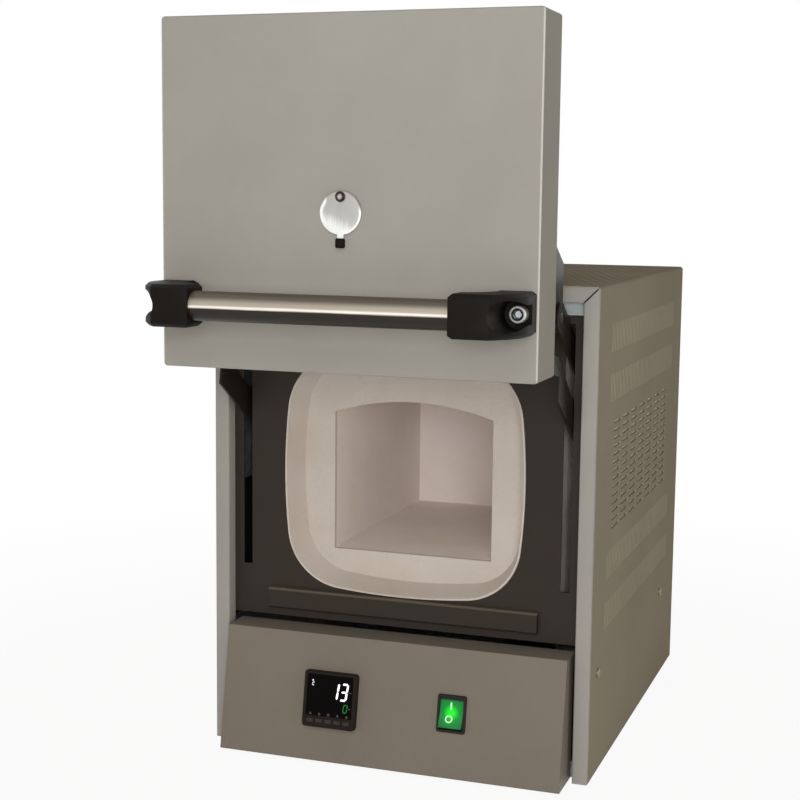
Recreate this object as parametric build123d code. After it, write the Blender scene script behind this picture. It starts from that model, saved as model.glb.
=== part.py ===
from build123d import *
from math import cos, radians, sin, tan
import os

# Bench-top muffle furnace with a parallel-lifting door, in millimetres.
# Working frame: X to the right, Y towards the rear with 0 at the case's front rim,
# Z up with 0 at the case's bottom edge. The door is stored open.

# ---- case ----
CASE_W, CASE_H, CASE_D = 338.0, 412.0, 402.0
SHEET = 1.2                  # folded sheet steel
BEND_R = 3.0                 # outside radius of the case's long top bends
RIM_W = 13.0                 # front flange round the opening
RIM_DEPTH = 13.0             # return behind the flange, down to the front panel
MITRE_GAP = 1.2              # open seam at the flange's top corners
FOOT_H, FOOT_R = 3.0, 10.0
FOOT_INSET = 34.0
PAN_LIP = 14.0               # turned-up edge of the base pan
REAR_LIP = 12.0              # turned edge of the rear cover
REAR_SCREW_INSET = 18.0
GLAND_INSET, GLAND_Z, GLAND_R, GLAND_BORE = 59.0, 60.0, 8.0, 4.0
SCREW_R, SCREW_HEAD_R, SCREW_HEAD_H, SCREW_SHANK = 2.0, 3.8, 2.2, 6.0
SIDE_SCREW_Z = 88.0
SIDE_SCREW_Y = (29.0, 320.0)

# ---- vents in the case ----
VENT_FRONT, VENT_REAR, VENT_H = 53.0, 47.0, 24.0
LOW_VENTS, HIGH_VENTS = (130.0, 173.0), (45.0, 87.0)  # bands above the bottom and below the top
VENT_SLOTS, VENT_SLOT_W = 14, 8.0
FIELD_COLS, FIELD_ROWS = 5, 6
FIELD_SLOT_L, FIELD_SLOT_H = 34.0, 5.0
FIELD_INSET, FIELD_GAP = 16.0, 17.0
TOP_COLS, TOP_ROWS = 9, 9
TOP_SLOT_L, TOP_SLOT_W = 16.0, 5.0
TOP_MARGIN_X, TOP_MARGIN_Y = 30.0, 22.0
REAR_VENT_X, REAR_VENT_L, REAR_VENT_H = 70.0, 50.0, 5.0
REAR_VENT_FALL, REAR_VENT_SPAN, REAR_VENT_ROWS = 92.0, 70.0, 5
BASE_VENT_SPAN, BASE_VENT_Y0, BASE_VENT_L, BASE_VENT_W = 180.0, 120.0, 40.0, 6.0

# ---- front panel, its slots, lintel and sill ----
PANEL_T = 1.5
PANEL_GAP = 7.0              # open strip between the fascia's ledge and the panel
LINTEL_H, LINTEL_LIP = 10.5, 4.0
SILL_INSET, SILL_UP, SILL_H, SILL_DEPTH = 34.5, 7.0, 18.0, 6.0

# ---- chamber and its seat ----
CHAMBER_W, CHAMBER_SIDE, CHAMBER_RISE, CHAMBER_D = 144.0, 122.0, 12.0, 236.0
CHAMBER_DROP = 73.0          # chamber floor below the seat's centre
MUFFLE_WALL = 20.0
SEAT_SIDE, SEAT_FOOT, SEAT_HEAD = 43.75, 23.0, 36.5  # from the door's edges to the seat's
SEAT_BOW, SEAT_R = 9.0, 52.0  # bulge of the seat's four sides and its corner radius
SEAT_LIP, SEAT_DRAFT, SEAT_DEPTH = 1.5, 6.5, 27.0
SEAT_GAP = 0.4               # between the ceramic lip and the sheet round it
COLLAR_T = 30.0
INS_INSET, INS_SIDE_GAP = 1.0, 1.9  # inside the door's outline, and from the linkage
INS_REAR_T = 34.0
SHELF_LIP = 38.0

# ---- heating elements, sensor and flue ----
HEATER_T, HEATER_LINE, HEATER_RUNS = 3.0, 3.0, 7
HEATER_MARGIN, HEATER_GAP = 12.0, 2.0
PROBE_X, PROBE_UP, PROBE_R, PROBE_IN = 32.0, 83.0, 3.0, 28.0
PROBE_HEAD_R, PROBE_HEAD_L = 12.0, 18.0
FLUE_X, FLUE_UP, FLUE_R, FLUE_WALL, FLUE_OUT = -40.0, 108.0, 11.0, 1.5, 12.0

# ---- relay and terminals on the tray ----
RELAY_X, RELAY_Y, RELAY_W, RELAY_D, RELAY_H = 30.0, 190.0, 58.0, 45.0, 22.0
FINS, FIN_T, FIN_H = 7, 2.0, 20.0
TERMINALS, TERMINAL_PITCH, TERMINAL_D, TERMINAL_H, TERMINAL_WELL = 4, 12.0, 20.0, 16.0, 5.0
TERMINAL_INSET, TERMINAL_REAR = 50.0, 70.0

# ---- door ----
DOOR_T = 50.0
DOOR_SIDE_GAP, DOOR_HEAD_GAP, DOOR_FOOT_GAP = 4.25, 2.0, 10.0  # to the rims, lintel and fascia
DOOR_EDGE_R = 3.0
DOOR_CLOSED_REAR = -6.0      # rear plane of the shut door
PLUG_GAP, PLUG_DRAFT, PLUG_END_GAP = 3.0, 12.0, 2.0

# ---- linkage: two links on each side keep the door upright ----
OPEN_DEG, CLOSED_DEG = 33.0, -67.5
LINK_W, LINK_T, LINK_GAP = 24.0, 2.0, 0.4
LINK_INSET = 16.1            # from the rim's inner edge to the door bracket
UPPER_BACK, UPPER_UP = 52.5, 41.5  # pivot behind the door's rear plane and above its bottom
LOWER_BACK, LOWER_UP = 10.3, 9.0
PIN_R, PIN_FIT, OPEN_PIVOT_FIT = 4.0, 0.05, 0.3
LUG_R, TOE_R = 12.5, 7.5
BRACKET_TOP, BRACKET_FLANGE = 84.0, 20.0
EAR_UNDER = 2.0              # the ear's lower edge above its pivot
EAR_HEIGHT, EAR_NOSE, EAR_HOLE, EAR_HOLE_PLACE = 79.0, 42.0, 11.0, (26.0, 29.0)
SLOT_CLEAR, SLOT_SIDE = 2.5, 0.6
SLOT_HEAD = 5.4              # the slot's upper end below the door's top
KNEE_UP, KNEE_EASE, TOE_HEEL = 42.0, (4.0, 8.0), 24.0
FRAME_T, FRAME_GAP, FRAME_MARGIN, FRAME_FLANGE = 2.0, 2.3, 38.0, 14.0
FRAME_REACH, FRAME_HEAD, FRAME_HOLE, SHOULDER = 18.0, 30.0, 12.0, 2.5

# ---- handle ----
TUBE_R, TUBE_WALL = 11.25, 1.5
HANDLE_UP, HANDLE_OUT = 52.0, 46.5
LEG_INSET, LEG_L, LEG_H, LEG_FRONT = 1.75, 49.0, 32.0, 59.5
LEG_BLOCK, LEG_EASE, LEG_FOOT = 30.0, 2.5, 30.0
ARM_OUTER, ARM_INNER, ARM_LEAD = (13.3, 19.8), (4.0, 8.0), 6.0  # how far the arm's curves bulge
SOCKET_D = 25.0
FOOT_THICK = 23.0
HANDLE_SCREW_INSET, HANDLE_SCREW_R = 9.0, 4.0
HANDLE_HEAD_R, HANDLE_HEAD_H, HANDLE_HEX = 6.5, 8.0, 3.4
COUNTERBORE_R, COUNTERBORE_FLOOR = 11.5, 12.0

# ---- peephole ----
PEEP_X, PEEP_DROP, PEEP_R, PEEP_WALL = -2.0, 6.0, 6.5, 1.5
COVER_R, COVER_T, COVER_PIVOT = 16.5, 1.5, 12.0
TAB_W, TAB_L, KNOB_L, KNOB_WALL = 5.0, 9.0, 6.5, 0.8
RIVET_R, COVER_STANDOFF = 2.0, 1.0

# ---- control panel ----
FASCIA_SIDE_GAP, FASCIA_H, FASCIA_T = 4.0, 107.0, 1.5
FASCIA_TOP_Y, FASCIA_FOOT_Y, LEDGE_REACH = -8.6, -27.8, 6.0
CONTROLLER_X, CONTROLLER_U, CONTROLLER_W, CONTROLLER_LIP = -51.0, 54.0, 48.0, 6.0
CONTROLLER_BODY, CONTROLLER_DEPTH = 44.6, 70.0
LENS_W, LENS_H, LENS_T, LENS_UP = 42.0, 35.5, 1.0, 3.5
KEYS, KEY_W, KEY_H, KEY_PITCH, KEY_DOWN = 5, 6.2, 3.6, 8.2, 18.2
KEY_GAP, KEY_PROUD, KEY_TRAVEL, KEY_WELL = 0.25, 0.6, 0.4, 2.5
SWITCH_X, SWITCH_U, SWITCH_W, SWITCH_H, SWITCH_LIP = 57.0, 54.5, 25.0, 31.5, 2.5
SWITCH_BODY, SWITCH_DEPTH, SWITCH_WELL, ROCKER_GAP = 2.0, 22.0, 12.0, 0.25
ROCKER_W, ROCKER_R, ROCKER_TILT = 20.0, 13.2, 10.0
ROCKER_FACE, ROCKER_DIP, ROCKER_DEEP = 4.6, 2.4, 7.0
ROCKER_N = -1.0              # the rocker's axis, behind the fascia's face

# ---- places worked out from the values above ----
PANEL_Y = RIM_DEPTH
PANEL_BACK = PANEL_Y + PANEL_T
PANEL_Z0 = FASCIA_H + PANEL_GAP
INNER_W = CASE_W - 2 * SHEET
OPEN_W = CASE_W - 2 * RIM_W
FASCIA_W = OPEN_W - 2 * FASCIA_SIDE_GAP
DOOR_W = OPEN_W - 2 * DOOR_SIDE_GAP
DOOR_CLOSED_Z = FASCIA_H + DOOR_FOOT_GAP
DOOR_TOP = CASE_H - RIM_W - LINTEL_H - DOOR_HEAD_GAP
DOOR_H = DOOR_TOP - DOOR_CLOSED_Z
DOOR_FRONT = DOOR_CLOSED_REAR - DOOR_T
SEAT_W = DOOR_W - 2 * SEAT_SIDE
SEAT_H = DOOR_H - SEAT_FOOT - SEAT_HEAD
SEAT_Z = DOOR_CLOSED_Z + SEAT_FOOT + SEAT_H / 2
CHAMBER_Z0 = SEAT_Z - CHAMBER_DROP
PROBE_Z, FLUE_Z = CHAMBER_Z0 + PROBE_UP, CHAMBER_Z0 + FLUE_UP
SEAT_FLOOR = PANEL_Y + SEAT_DEPTH
COLLAR_BACK = PANEL_BACK + COLLAR_T
CHAMBER_END = SEAT_FLOOR + CHAMBER_D
MUFFLE_END = CHAMBER_END + MUFFLE_WALL
INS_END = MUFFLE_END + INS_REAR_T
REAR_Y = CASE_D - SHEET
VENT_LEN = CASE_D - VENT_FRONT - VENT_REAR
VENT_Z = (*LOW_VENTS, *[CASE_H - fall for fall in HIGH_VENTS])
GLAND_X = CASE_W / 2 - GLAND_INSET

UPPER_SHUT = (DOOR_CLOSED_REAR + UPPER_BACK, DOOR_CLOSED_Z + UPPER_UP)
LOWER_SHUT = (DOOR_CLOSED_REAR + LOWER_BACK, DOOR_CLOSED_Z + LOWER_UP)


def link_length():
    """Length between pivots that brings the opened upper link to the top of the panel's slot."""
    half_width = LINK_W / 2 / cos(radians(OPEN_DEG))
    rise = DOOR_TOP - SLOT_HEAD - SLOT_CLEAR - half_width - UPPER_SHUT[1]
    rise -= (UPPER_SHUT[0] - PANEL_Y) * tan(radians(OPEN_DEG))
    return rise / (cos(radians(CLOSED_DEG)) * tan(radians(OPEN_DEG)) - sin(radians(CLOSED_DEG)))


LINK_LEN = link_length()
TRAVEL_Y = LINK_LEN * (cos(radians(OPEN_DEG)) - cos(radians(CLOSED_DEG)))
TRAVEL_Z = LINK_LEN * (sin(radians(OPEN_DEG)) - sin(radians(CLOSED_DEG)))
OPENED = Pos(0, -TRAVEL_Y, TRAVEL_Z)  # from the shut door's place to the stored one
SWING_DEG = OPEN_DEG - CLOSED_DEG



def link_anchor(shut_pivot):
    """Fixed end, as (y, z), of the link whose door end is given for the shut door."""
    reach = radians(CLOSED_DEG)
    return shut_pivot[0] + LINK_LEN * cos(reach), shut_pivot[1] - LINK_LEN * sin(reach)


UPPER_ANCHOR, LOWER_ANCHOR = link_anchor(UPPER_SHUT), link_anchor(LOWER_SHUT)
BRACKET_X = OPEN_W / 2 - LINK_INSET
SLOT_Z0 = UPPER_SHUT[1] + EAR_UNDER - SLOT_CLEAR
SLOT_Z1 = DOOR_TOP - SLOT_HEAD
UPPER_LINK_X = BRACKET_X + LINK_T + LINK_GAP
LOWER_LINK_X = UPPER_LINK_X + LINK_T + LINK_GAP
FRAME_X = LOWER_LINK_X + LINK_T + FRAME_GAP
INS_W = 2 * (BRACKET_X - INS_SIDE_GAP)
INS_Z0, INS_Z1 = DOOR_CLOSED_Z + INS_INSET, DOOR_TOP - INS_INSET
SLOT_X0, SLOT_X1 = BRACKET_X - SLOT_SIDE, LOWER_LINK_X + LINK_T + SLOT_SIDE

PEEP_Z = SEAT_Z - PEEP_DROP
COVER_BACK = DOOR_FRONT - COVER_STANDOFF
HANDLE_Z = DOOR_CLOSED_Z + HANDLE_UP
HANDLE_Y = DOOR_FRONT - HANDLE_OUT
LEG_OUTER = DOOR_W / 2 - LEG_INSET
LEG_INNER = LEG_OUTER - LEG_L
HANDLE_SCREW_X = LEG_OUTER - HANDLE_SCREW_INSET

# Whole size with the door open, used to stand the part on its base centre.
FRONT_REACH = DOOR_FRONT - TRAVEL_Y - LEG_FRONT
REAR_REACH = CASE_D + FLUE_OUT
TO_BASE_CENTRE = Pos(0, -(FRONT_REACH + REAR_REACH) / 2, FOOT_H)

SLOPE = FASCIA_TOP_Y - FASCIA_FOOT_Y
FASCIA_PLANE = Plane(origin=(0, FASCIA_FOOT_Y, 0), x_dir=(1, 0, 0), z_dir=(0, -FASCIA_H, SLOPE))


# ---- helpers ----
def block(x0, x1, y0, y1, z0, z1):
    """Box between two corners."""
    return Pos((x0 + x1) / 2, (y0 + y1) / 2, (z0 + z1) / 2) * Box(x1 - x0, y1 - y0, z1 - z0)


def front_plane(y):
    """Plane seen from the front: sketch x is X, sketch y is Z."""
    return Plane(origin=(0, y, 0), x_dir=(1, 0, 0), z_dir=(0, -1, 0))


def front_cut(sketch, y0, y1):
    """Sketch in X and Z made solid from depth y0 to y1."""
    return extrude(front_plane(y1) * sketch, y1 - y0)


def side_cut(sketch, x0, x1):
    """Sketch in Y and Z made solid from x0 to x1."""
    return extrude(Plane.YZ.offset(x0) * sketch, x1 - x0)


def rect(x0, x1, z0, z1):
    """Rectangle between two corners of a sketch."""
    return Pos((x0 + x1) / 2, (z0 + z1) / 2) * Rectangle(x1 - x0, z1 - z0)


def rod_x(x0, x1, y, z, r):
    return Pos((x0 + x1) / 2, y, z) * Rot(0, 90, 0) * Cylinder(r, x1 - x0)


def rod_y(y0, y1, x, z, r):
    return Pos(x, (y0 + y1) / 2, z) * Rot(90, 0, 0) * Cylinder(r, y1 - y0)


def flip(shape):
    """The same piece for the other side."""
    return mirror(shape, about=Plane.YZ)


def both(shape):
    """One node that holds a piece and its mirror image as separate solids."""
    return Compound([*shape.solids(), *flip(shape).solids()])


def spread(count, start, length):
    """Centres of equal steps along a length."""
    return [start + length * (i + 0.5) / count for i in range(count)]


def seat_outline(inset):
    """Bowed square with large round corners: the seat between door plug and chamber."""
    w, h = SEAT_W / 2 - inset, SEAT_H / 2 - inset
    cw, ch = w - SEAT_BOW, h - SEAT_BOW
    corners = [(-cw, -ch), (cw, -ch), (cw, ch), (-cw, ch)]
    bulges = [(0, -h), (w, 0), (0, h), (-w, 0)]
    sides = [ThreePointArc(corners[i], bulges[i], corners[(i + 1) % 4]) for i in range(4)]
    face = make_face(sides)
    return Pos(0, SEAT_Z) * fillet(face.vertices(), SEAT_R - inset)


def arch_outline(wall):
    """Chamber section with a gently arched roof, grown outwards by a wall."""
    half, foot = CHAMBER_W / 2 + wall, CHAMBER_Z0 - wall
    spring = CHAMBER_Z0 + CHAMBER_SIDE + wall
    sides = Polyline((-half, spring), (-half, foot), (half, foot), (half, spring))
    roof = ThreePointArc((half, spring), (0, spring + CHAMBER_RISE), (-half, spring))
    return make_face([*sides.edges(), roof])


# ---- case ----
def case_section(inset):
    """U-shaped outline of the case from the front, open at the bottom."""
    half, top = CASE_W / 2 - inset, CASE_H - inset
    face = rect(-half, half, 0, top)
    if inset < BEND_R:
        upper = face.vertices().sort_by(Axis.Y)[-2:]
        face = fillet(upper, BEND_R - inset)
    return face


def side_vents():
    """Slots cut through both side walls: four bands of upright ones and a field of level ones."""
    cuts = [Pos(0, y, z) * Box(2 * CASE_W, VENT_SLOT_W, VENT_H)
            for z in VENT_Z for y in spread(VENT_SLOTS, VENT_FRONT, VENT_LEN)]
    z0 = max(LOW_VENTS) + VENT_H / 2 + FIELD_GAP
    z1 = CASE_H - max(HIGH_VENTS) - VENT_H / 2 - FIELD_GAP
    cuts += [Pos(0, y, z) * Box(2 * CASE_W, FIELD_SLOT_L, FIELD_SLOT_H)
             for z in spread(FIELD_ROWS, z0, z1 - z0)
             for y in spread(FIELD_COLS, VENT_FRONT + FIELD_INSET, VENT_LEN - 2 * FIELD_INSET)]
    return cuts


def top_vents():
    """Grid of slots cut through the top."""
    across, along = CASE_W - 2 * TOP_MARGIN_X, CASE_D - 2 * TOP_MARGIN_Y
    return [Pos(x, y, CASE_H) * Box(TOP_SLOT_L, TOP_SLOT_W, 4 * SHEET)
            for x in spread(TOP_COLS, -across / 2, across)
            for y in spread(TOP_ROWS, TOP_MARGIN_Y, along)]


def outer_case():
    """Top and sides in one folded sheet, with a flange, mitres and return round the front."""
    wrap = front_cut(case_section(0) - case_section(SHEET), 0, CASE_D)
    flange = front_cut(case_section(0) - case_section(RIM_W), 0, SHEET)
    ret = front_cut(case_section(RIM_W - SHEET) - case_section(RIM_W), 0, RIM_DEPTH)
    mitre = Box(3 * RIM_W, 2 * SHEET, MITRE_GAP)
    inset = RIM_W / 2
    seam = Pos(CASE_W / 2 - inset - SHEET, 0, CASE_H - inset - SHEET) * Rot(0, -45, 0) * mitre
    seam &= block(0, CASE_W / 2 - SHEET, -SHEET, SHEET, 0, CASE_H - SHEET)
    shell = wrap + flange + ret - seam - flip(seam)
    shell -= [rod_x(-CASE_W, CASE_W, y, SIDE_SCREW_Z, SCREW_R) for y in SIDE_SCREW_Y]
    return shell - side_vents() - top_vents()


def base_pan():
    """Floor tray with turned-up edges between the case's sides."""
    y0, y1 = PANEL_BACK, REAR_Y
    tray = block(-INNER_W / 2, INNER_W / 2, y0, y1, 0, PAN_LIP)
    tray -= block(-INNER_W / 2 + SHEET, INNER_W / 2 - SHEET, y0 + SHEET, y1 - SHEET, SHEET, PAN_LIP)
    return tray - [Pos(x, y) * Box(BASE_VENT_L, BASE_VENT_W, 3 * SHEET)
                   for x in spread(3, -BASE_VENT_SPAN / 2, BASE_VENT_SPAN)
                   for y in spread(4, BASE_VENT_Y0, BASE_VENT_SPAN)]


def foot_places():
    x = CASE_W / 2 - FOOT_INSET
    return [(sx * x, y) for sx in (-1, 1) for y in (FOOT_INSET, CASE_D - FOOT_INSET)]


def feet():
    """Four tapered rubber feet under the tray."""
    taper = 1.5
    foot = Pos(0, 0, -FOOT_H / 2) * Cone(FOOT_R - taper, FOOT_R, FOOT_H)
    return Compound([(Pos(x, y, 0) * foot).solid() for x, y in foot_places()])


def rear_cover():
    """Rear wall with turned edges, vent slots, flue hole and cable gland hole."""
    z0, z1 = PAN_LIP, CASE_H - SHEET
    outline = case_section(SHEET) & rect(-INNER_W / 2, INNER_W / 2, z0, z1)
    hollow = rect(-INNER_W / 2 + SHEET, INNER_W / 2 - SHEET, z0 + SHEET, z1 - SHEET)
    wall = front_cut(outline, REAR_Y - REAR_LIP, CASE_D) - front_cut(hollow, REAR_Y - REAR_LIP, REAR_Y)
    wall -= [Pos(x, REAR_Y, z) * Box(REAR_VENT_L, 4 * SHEET, REAR_VENT_H)
             for x in (-REAR_VENT_X, REAR_VENT_X)
             for z in spread(REAR_VENT_ROWS, CASE_H - REAR_VENT_FALL, REAR_VENT_SPAN)]
    wall -= rod_y(REAR_Y - SHEET, CASE_D + SHEET, FLUE_X, FLUE_Z, FLUE_R)
    wall -= rod_y(REAR_Y - SHEET, CASE_D + SHEET, GLAND_X, GLAND_Z, GLAND_R)
    return wall - [rod_y(REAR_Y - SHEET, CASE_D + SHEET, x, z, SCREW_R) for x, z in rear_screw_places()]


def rear_screw_places():
    half = INNER_W / 2 - REAR_SCREW_INSET
    rows = (2 * REAR_SCREW_INSET, CASE_H / 2, CASE_H - 2 * REAR_SCREW_INSET)
    return [(side * half, z) for side in (-1, 1) for z in rows]


def pan_head(axis_place):
    """Pan-head screw along the local Z, its head above the surface at z = 0."""
    head = Pos(0, 0, SCREW_HEAD_H / 2) * Cylinder(SCREW_HEAD_R, SCREW_HEAD_H)
    head = chamfer(head.edges().group_by(Axis.Z)[-1], SCREW_HEAD_H / 2)
    shank = Pos(0, 0, -SCREW_SHANK / 2) * Cylinder(SCREW_R, SCREW_SHANK)
    return (axis_place * (head + shank)).solid()


def side_screws():
    right = Compound([pan_head(Pos(CASE_W / 2, y, SIDE_SCREW_Z) * Rot(0, 90, 0)) for y in SIDE_SCREW_Y])
    return both(right)


def rear_screws():
    return Compound([pan_head(Pos(x, CASE_D, z) * Rot(-90, 0, 0)) for x, z in rear_screw_places()])


# ---- front ----
def front_panel():
    """Dark sheet behind the rim, with the seat opening and a slot for the links on each side."""
    sheet = case_section(SHEET) & rect(-INNER_W / 2, INNER_W / 2, PANEL_Z0, CASE_H)
    sheet -= seat_outline(-SEAT_GAP)
    slot = rect(SLOT_X0, SLOT_X1, SLOT_Z0, SLOT_Z1)
    sheet -= [slot, Pos(-SLOT_X0 - SLOT_X1, 0) * slot]
    return front_cut(sheet, PANEL_Y, PANEL_BACK)


def lintel():
    """Light strip between the rim and the dark panel, with its lower edge turned forward."""
    top = CASE_H - RIM_W
    half = CASE_W / 2 - RIM_W
    strip = block(-half, half, PANEL_Y - SHEET, PANEL_Y, top - LINTEL_H, top)
    return strip + block(-half, half, PANEL_Y - LINTEL_LIP, PANEL_Y, top - LINTEL_H, top - LINTEL_H + SHEET)


def sill():
    """Shallow folded step under the seat."""
    half, front = OPEN_W / 2 - SILL_INSET, PANEL_Y - SILL_DEPTH
    z0, z1 = PANEL_Z0 + SILL_UP, PANEL_Z0 + SILL_UP + SILL_H
    step = block(-half, half, front, PANEL_Y, z0, z1)
    step = chamfer(step.edges().filter_by(Axis.X).group_by(Axis.Y)[0], SILL_DEPTH / 3)
    return step - block(-half + SHEET, half - SHEET, front + SHEET, PANEL_Y, z0 + SHEET, z1 - SHEET)


# ---- chamber ----
def collar():
    """Front ceramic block: tapered seat for the door plug, then the chamber's mouth."""
    body = block(-INS_W / 2, INS_W / 2, PANEL_BACK, COLLAR_BACK, INS_Z0, INS_Z1)
    body += front_cut(seat_outline(0), PANEL_Y, PANEL_BACK + 1)
    mouth = front_plane(PANEL_Y) * seat_outline(SEAT_LIP)
    floor = front_plane(SEAT_FLOOR) * seat_outline(SEAT_LIP + SEAT_DRAFT)
    body -= loft([mouth.face(), floor.face()])
    return body - front_cut(arch_outline(0), SEAT_FLOOR - 1, COLLAR_BACK + 1)


def muffle():
    """Chamber body: arched tunnel with a closed rear wall."""
    tunnel = front_cut(arch_outline(MUFFLE_WALL), COLLAR_BACK, MUFFLE_END)
    tunnel -= front_cut(arch_outline(0), COLLAR_BACK - 1, CHAMBER_END)
    tunnel -= rod_y(CHAMBER_END - 1, MUFFLE_END + 1, PROBE_X, PROBE_Z, PROBE_R)
    return tunnel - rod_y(CHAMBER_END - 1, MUFFLE_END + 1, FLUE_X, FLUE_Z, FLUE_R)


def insulation_bottom():
    return block(-INS_W / 2, INS_W / 2, COLLAR_BACK, MUFFLE_END, INS_Z0, CHAMBER_Z0 - MUFFLE_WALL)


def insulation_top():
    """Block between the side blocks, its underside arched over the chamber."""
    half = CHAMBER_W / 2 + MUFFLE_WALL
    spring = CHAMBER_Z0 + CHAMBER_SIDE + MUFFLE_WALL
    body = block(-half, half, COLLAR_BACK, MUFFLE_END, spring, INS_Z1)
    return body - front_cut(arch_outline(MUFFLE_WALL), COLLAR_BACK - 1, MUFFLE_END + 1)


def heater_room():
    """Outline of a heating element's pocket, seen from the side, as y0, y1, z0, z1."""
    z0 = CHAMBER_Z0
    return (COLLAR_BACK + HEATER_MARGIN, MUFFLE_END - MUFFLE_WALL - HEATER_MARGIN,
            z0, z0 + CHAMBER_SIDE)


def insulation_side():
    """Right side block with a shallow pocket for the heating element."""
    x0 = CHAMBER_W / 2 + MUFFLE_WALL
    y0, y1, z0, z1 = heater_room()
    body = block(x0, INS_W / 2, COLLAR_BACK, MUFFLE_END, CHAMBER_Z0 - MUFFLE_WALL, INS_Z1)
    gap = HEATER_GAP
    return body - block(x0, x0 + HEATER_T, y0 - gap, y1 + gap, z0 - gap, z1 + gap)


def heating_element():
    """Ribbon that runs up and down the right wall of the chamber body."""
    y0, y1, z0, z1 = heater_room()
    step = (y1 - y0) / (2 * HEATER_RUNS)
    path = []
    for i in range(2 * HEATER_RUNS):
        ends = (z0 + HEATER_LINE, z1 - HEATER_LINE)
        ends = ends if i % 2 == 0 else ends[::-1]
        path += [(y0 + step * (i + 0.5), z) for z in ends]
    ribbon = trace(Polyline(*path), line_width=HEATER_LINE)
    x0 = CHAMBER_W / 2 + MUFFLE_WALL
    return side_cut(ribbon, x0, x0 + HEATER_T)


def insulation_rear():
    body = block(-INS_W / 2, INS_W / 2, MUFFLE_END, INS_END, INS_Z0, INS_Z1)
    body -= rod_y(MUFFLE_END - 1, INS_END + 1, PROBE_X, PROBE_Z, PROBE_R)
    return body - rod_y(MUFFLE_END - 1, INS_END + 1, FLUE_X, FLUE_Z, FLUE_R)


def insulation_shelf():
    """Shelf under the insulation, its edges turned down where the side screws hold it."""
    half, z0, z1, y0, y1 = INNER_W / 2, INS_Z0 - SHELF_LIP, INS_Z0, PANEL_BACK, INS_END
    shelf = block(-half, half, y0, y1, z0, z1)
    shelf -= block(-half + SHEET, half - SHEET, y0 - 1, y1 + 1, z0 - 1, z1 - SHEET)
    return shelf - [rod_x(-CASE_W, CASE_W, y, SIDE_SCREW_Z, SCREW_R) for y in SIDE_SCREW_Y]


def thermocouple():
    """Sheathed probe through the rear wall, with its round terminal head outside the block."""
    probe = rod_y(CHAMBER_END - PROBE_IN, INS_END, PROBE_X, PROBE_Z, PROBE_R)
    head = rod_y(INS_END, INS_END + PROBE_HEAD_L, PROBE_X, PROBE_Z, PROBE_HEAD_R)
    return chamfer((probe + head).edges().group_by(Axis.Y)[-1], PROBE_HEAD_R / 5)


def flue_tube():
    """Vent tube from the chamber to the rear cover."""
    tube = rod_y(CHAMBER_END, REAR_REACH, FLUE_X, FLUE_Z, FLUE_R)
    return tube - rod_y(CHAMBER_END - 1, REAR_REACH + 1, FLUE_X, FLUE_Z, FLUE_R - FLUE_WALL)


def power_relay():
    """Solid-state relay on its finned heat sink, on the base tray."""
    x0, x1, y0, y1 = RELAY_X, RELAY_X + RELAY_W, RELAY_Y, RELAY_Y + RELAY_D
    plate_z, case_z = SHEET + FIN_H, SHEET + FIN_H + 2 * FIN_T
    fins = [block(x, x + FIN_T, y0, y1, SHEET, plate_z) for x in spread(FINS, x0, RELAY_W - FIN_T)]
    sink = block(x0, x1, y0, y1, plate_z, case_z)
    case = block(x0 + 2 * FIN_T, x1 - 2 * FIN_T, y0, y1, case_z, case_z + RELAY_H)
    return sink + fins + case


def terminal_block():
    """Row of screw terminals near the gland."""
    x0, length = GLAND_X - TERMINAL_INSET, TERMINAL_PITCH * TERMINALS
    y0, top = REAR_Y - TERMINAL_REAR, SHEET + TERMINAL_H
    base = block(x0, x0 + length, y0, y0 + TERMINAL_D, SHEET, top)
    well = Box(TERMINAL_WELL, TERMINAL_WELL, 2 * TERMINAL_WELL)
    base -= [Pos(x, y0 + TERMINAL_D / 2, top) * well for x in spread(TERMINALS, x0, length)]
    return base


def cable_gland():
    """Gland in the rear cover: threaded body, flange and dome with a bore for the lead."""
    place = Pos(GLAND_X, CASE_D, GLAND_Z) * Rot(-90, 0, 0)
    flange = place * extrude(RegularPolygon(1.4 * GLAND_R, 6), GLAND_BORE)
    dome = place * Pos(0, 0, GLAND_BORE + GLAND_R / 2) * Cone(1.1 * GLAND_R, 1.5 * GLAND_BORE, GLAND_R)
    body = rod_y(REAR_Y - GLAND_R, CASE_D, GLAND_X, GLAND_Z, GLAND_R)
    return body + flange + dome - rod_y(REAR_Y - 2 * GLAND_R, REAR_REACH, GLAND_X, GLAND_Z, GLAND_BORE)


# ---- door, drawn shut and stored open ----
def door_shell():
    """Folded pan: front and four edges, open to the rear."""
    half = DOOR_W / 2
    pan = block(-half, half, DOOR_FRONT, DOOR_CLOSED_REAR, DOOR_CLOSED_Z, DOOR_TOP)
    pan = fillet(pan.edges().filter_by(Axis.Y), DOOR_EDGE_R)
    pan = fillet(pan.faces().sort_by(Axis.Y)[0].edges(), DOOR_EDGE_R / 2)
    pan -= block(-half + SHEET, half - SHEET, DOOR_FRONT + SHEET, DOOR_CLOSED_REAR,
                 DOOR_CLOSED_Z + SHEET, DOOR_TOP - SHEET)
    pan -= rod_y(DOOR_FRONT - 1, DOOR_FRONT + 3, PEEP_X, PEEP_Z, PEEP_R + PEEP_WALL)
    pan -= rod_y(DOOR_FRONT - 1, DOOR_FRONT + 3, PEEP_X, PEEP_Z + COVER_PIVOT, RIVET_R)
    for x in (-HANDLE_SCREW_X, HANDLE_SCREW_X):
        pan -= rod_y(DOOR_FRONT - 1, DOOR_FRONT + 3, x, HANDLE_Z, HANDLE_SCREW_R)
    return pan


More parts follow.
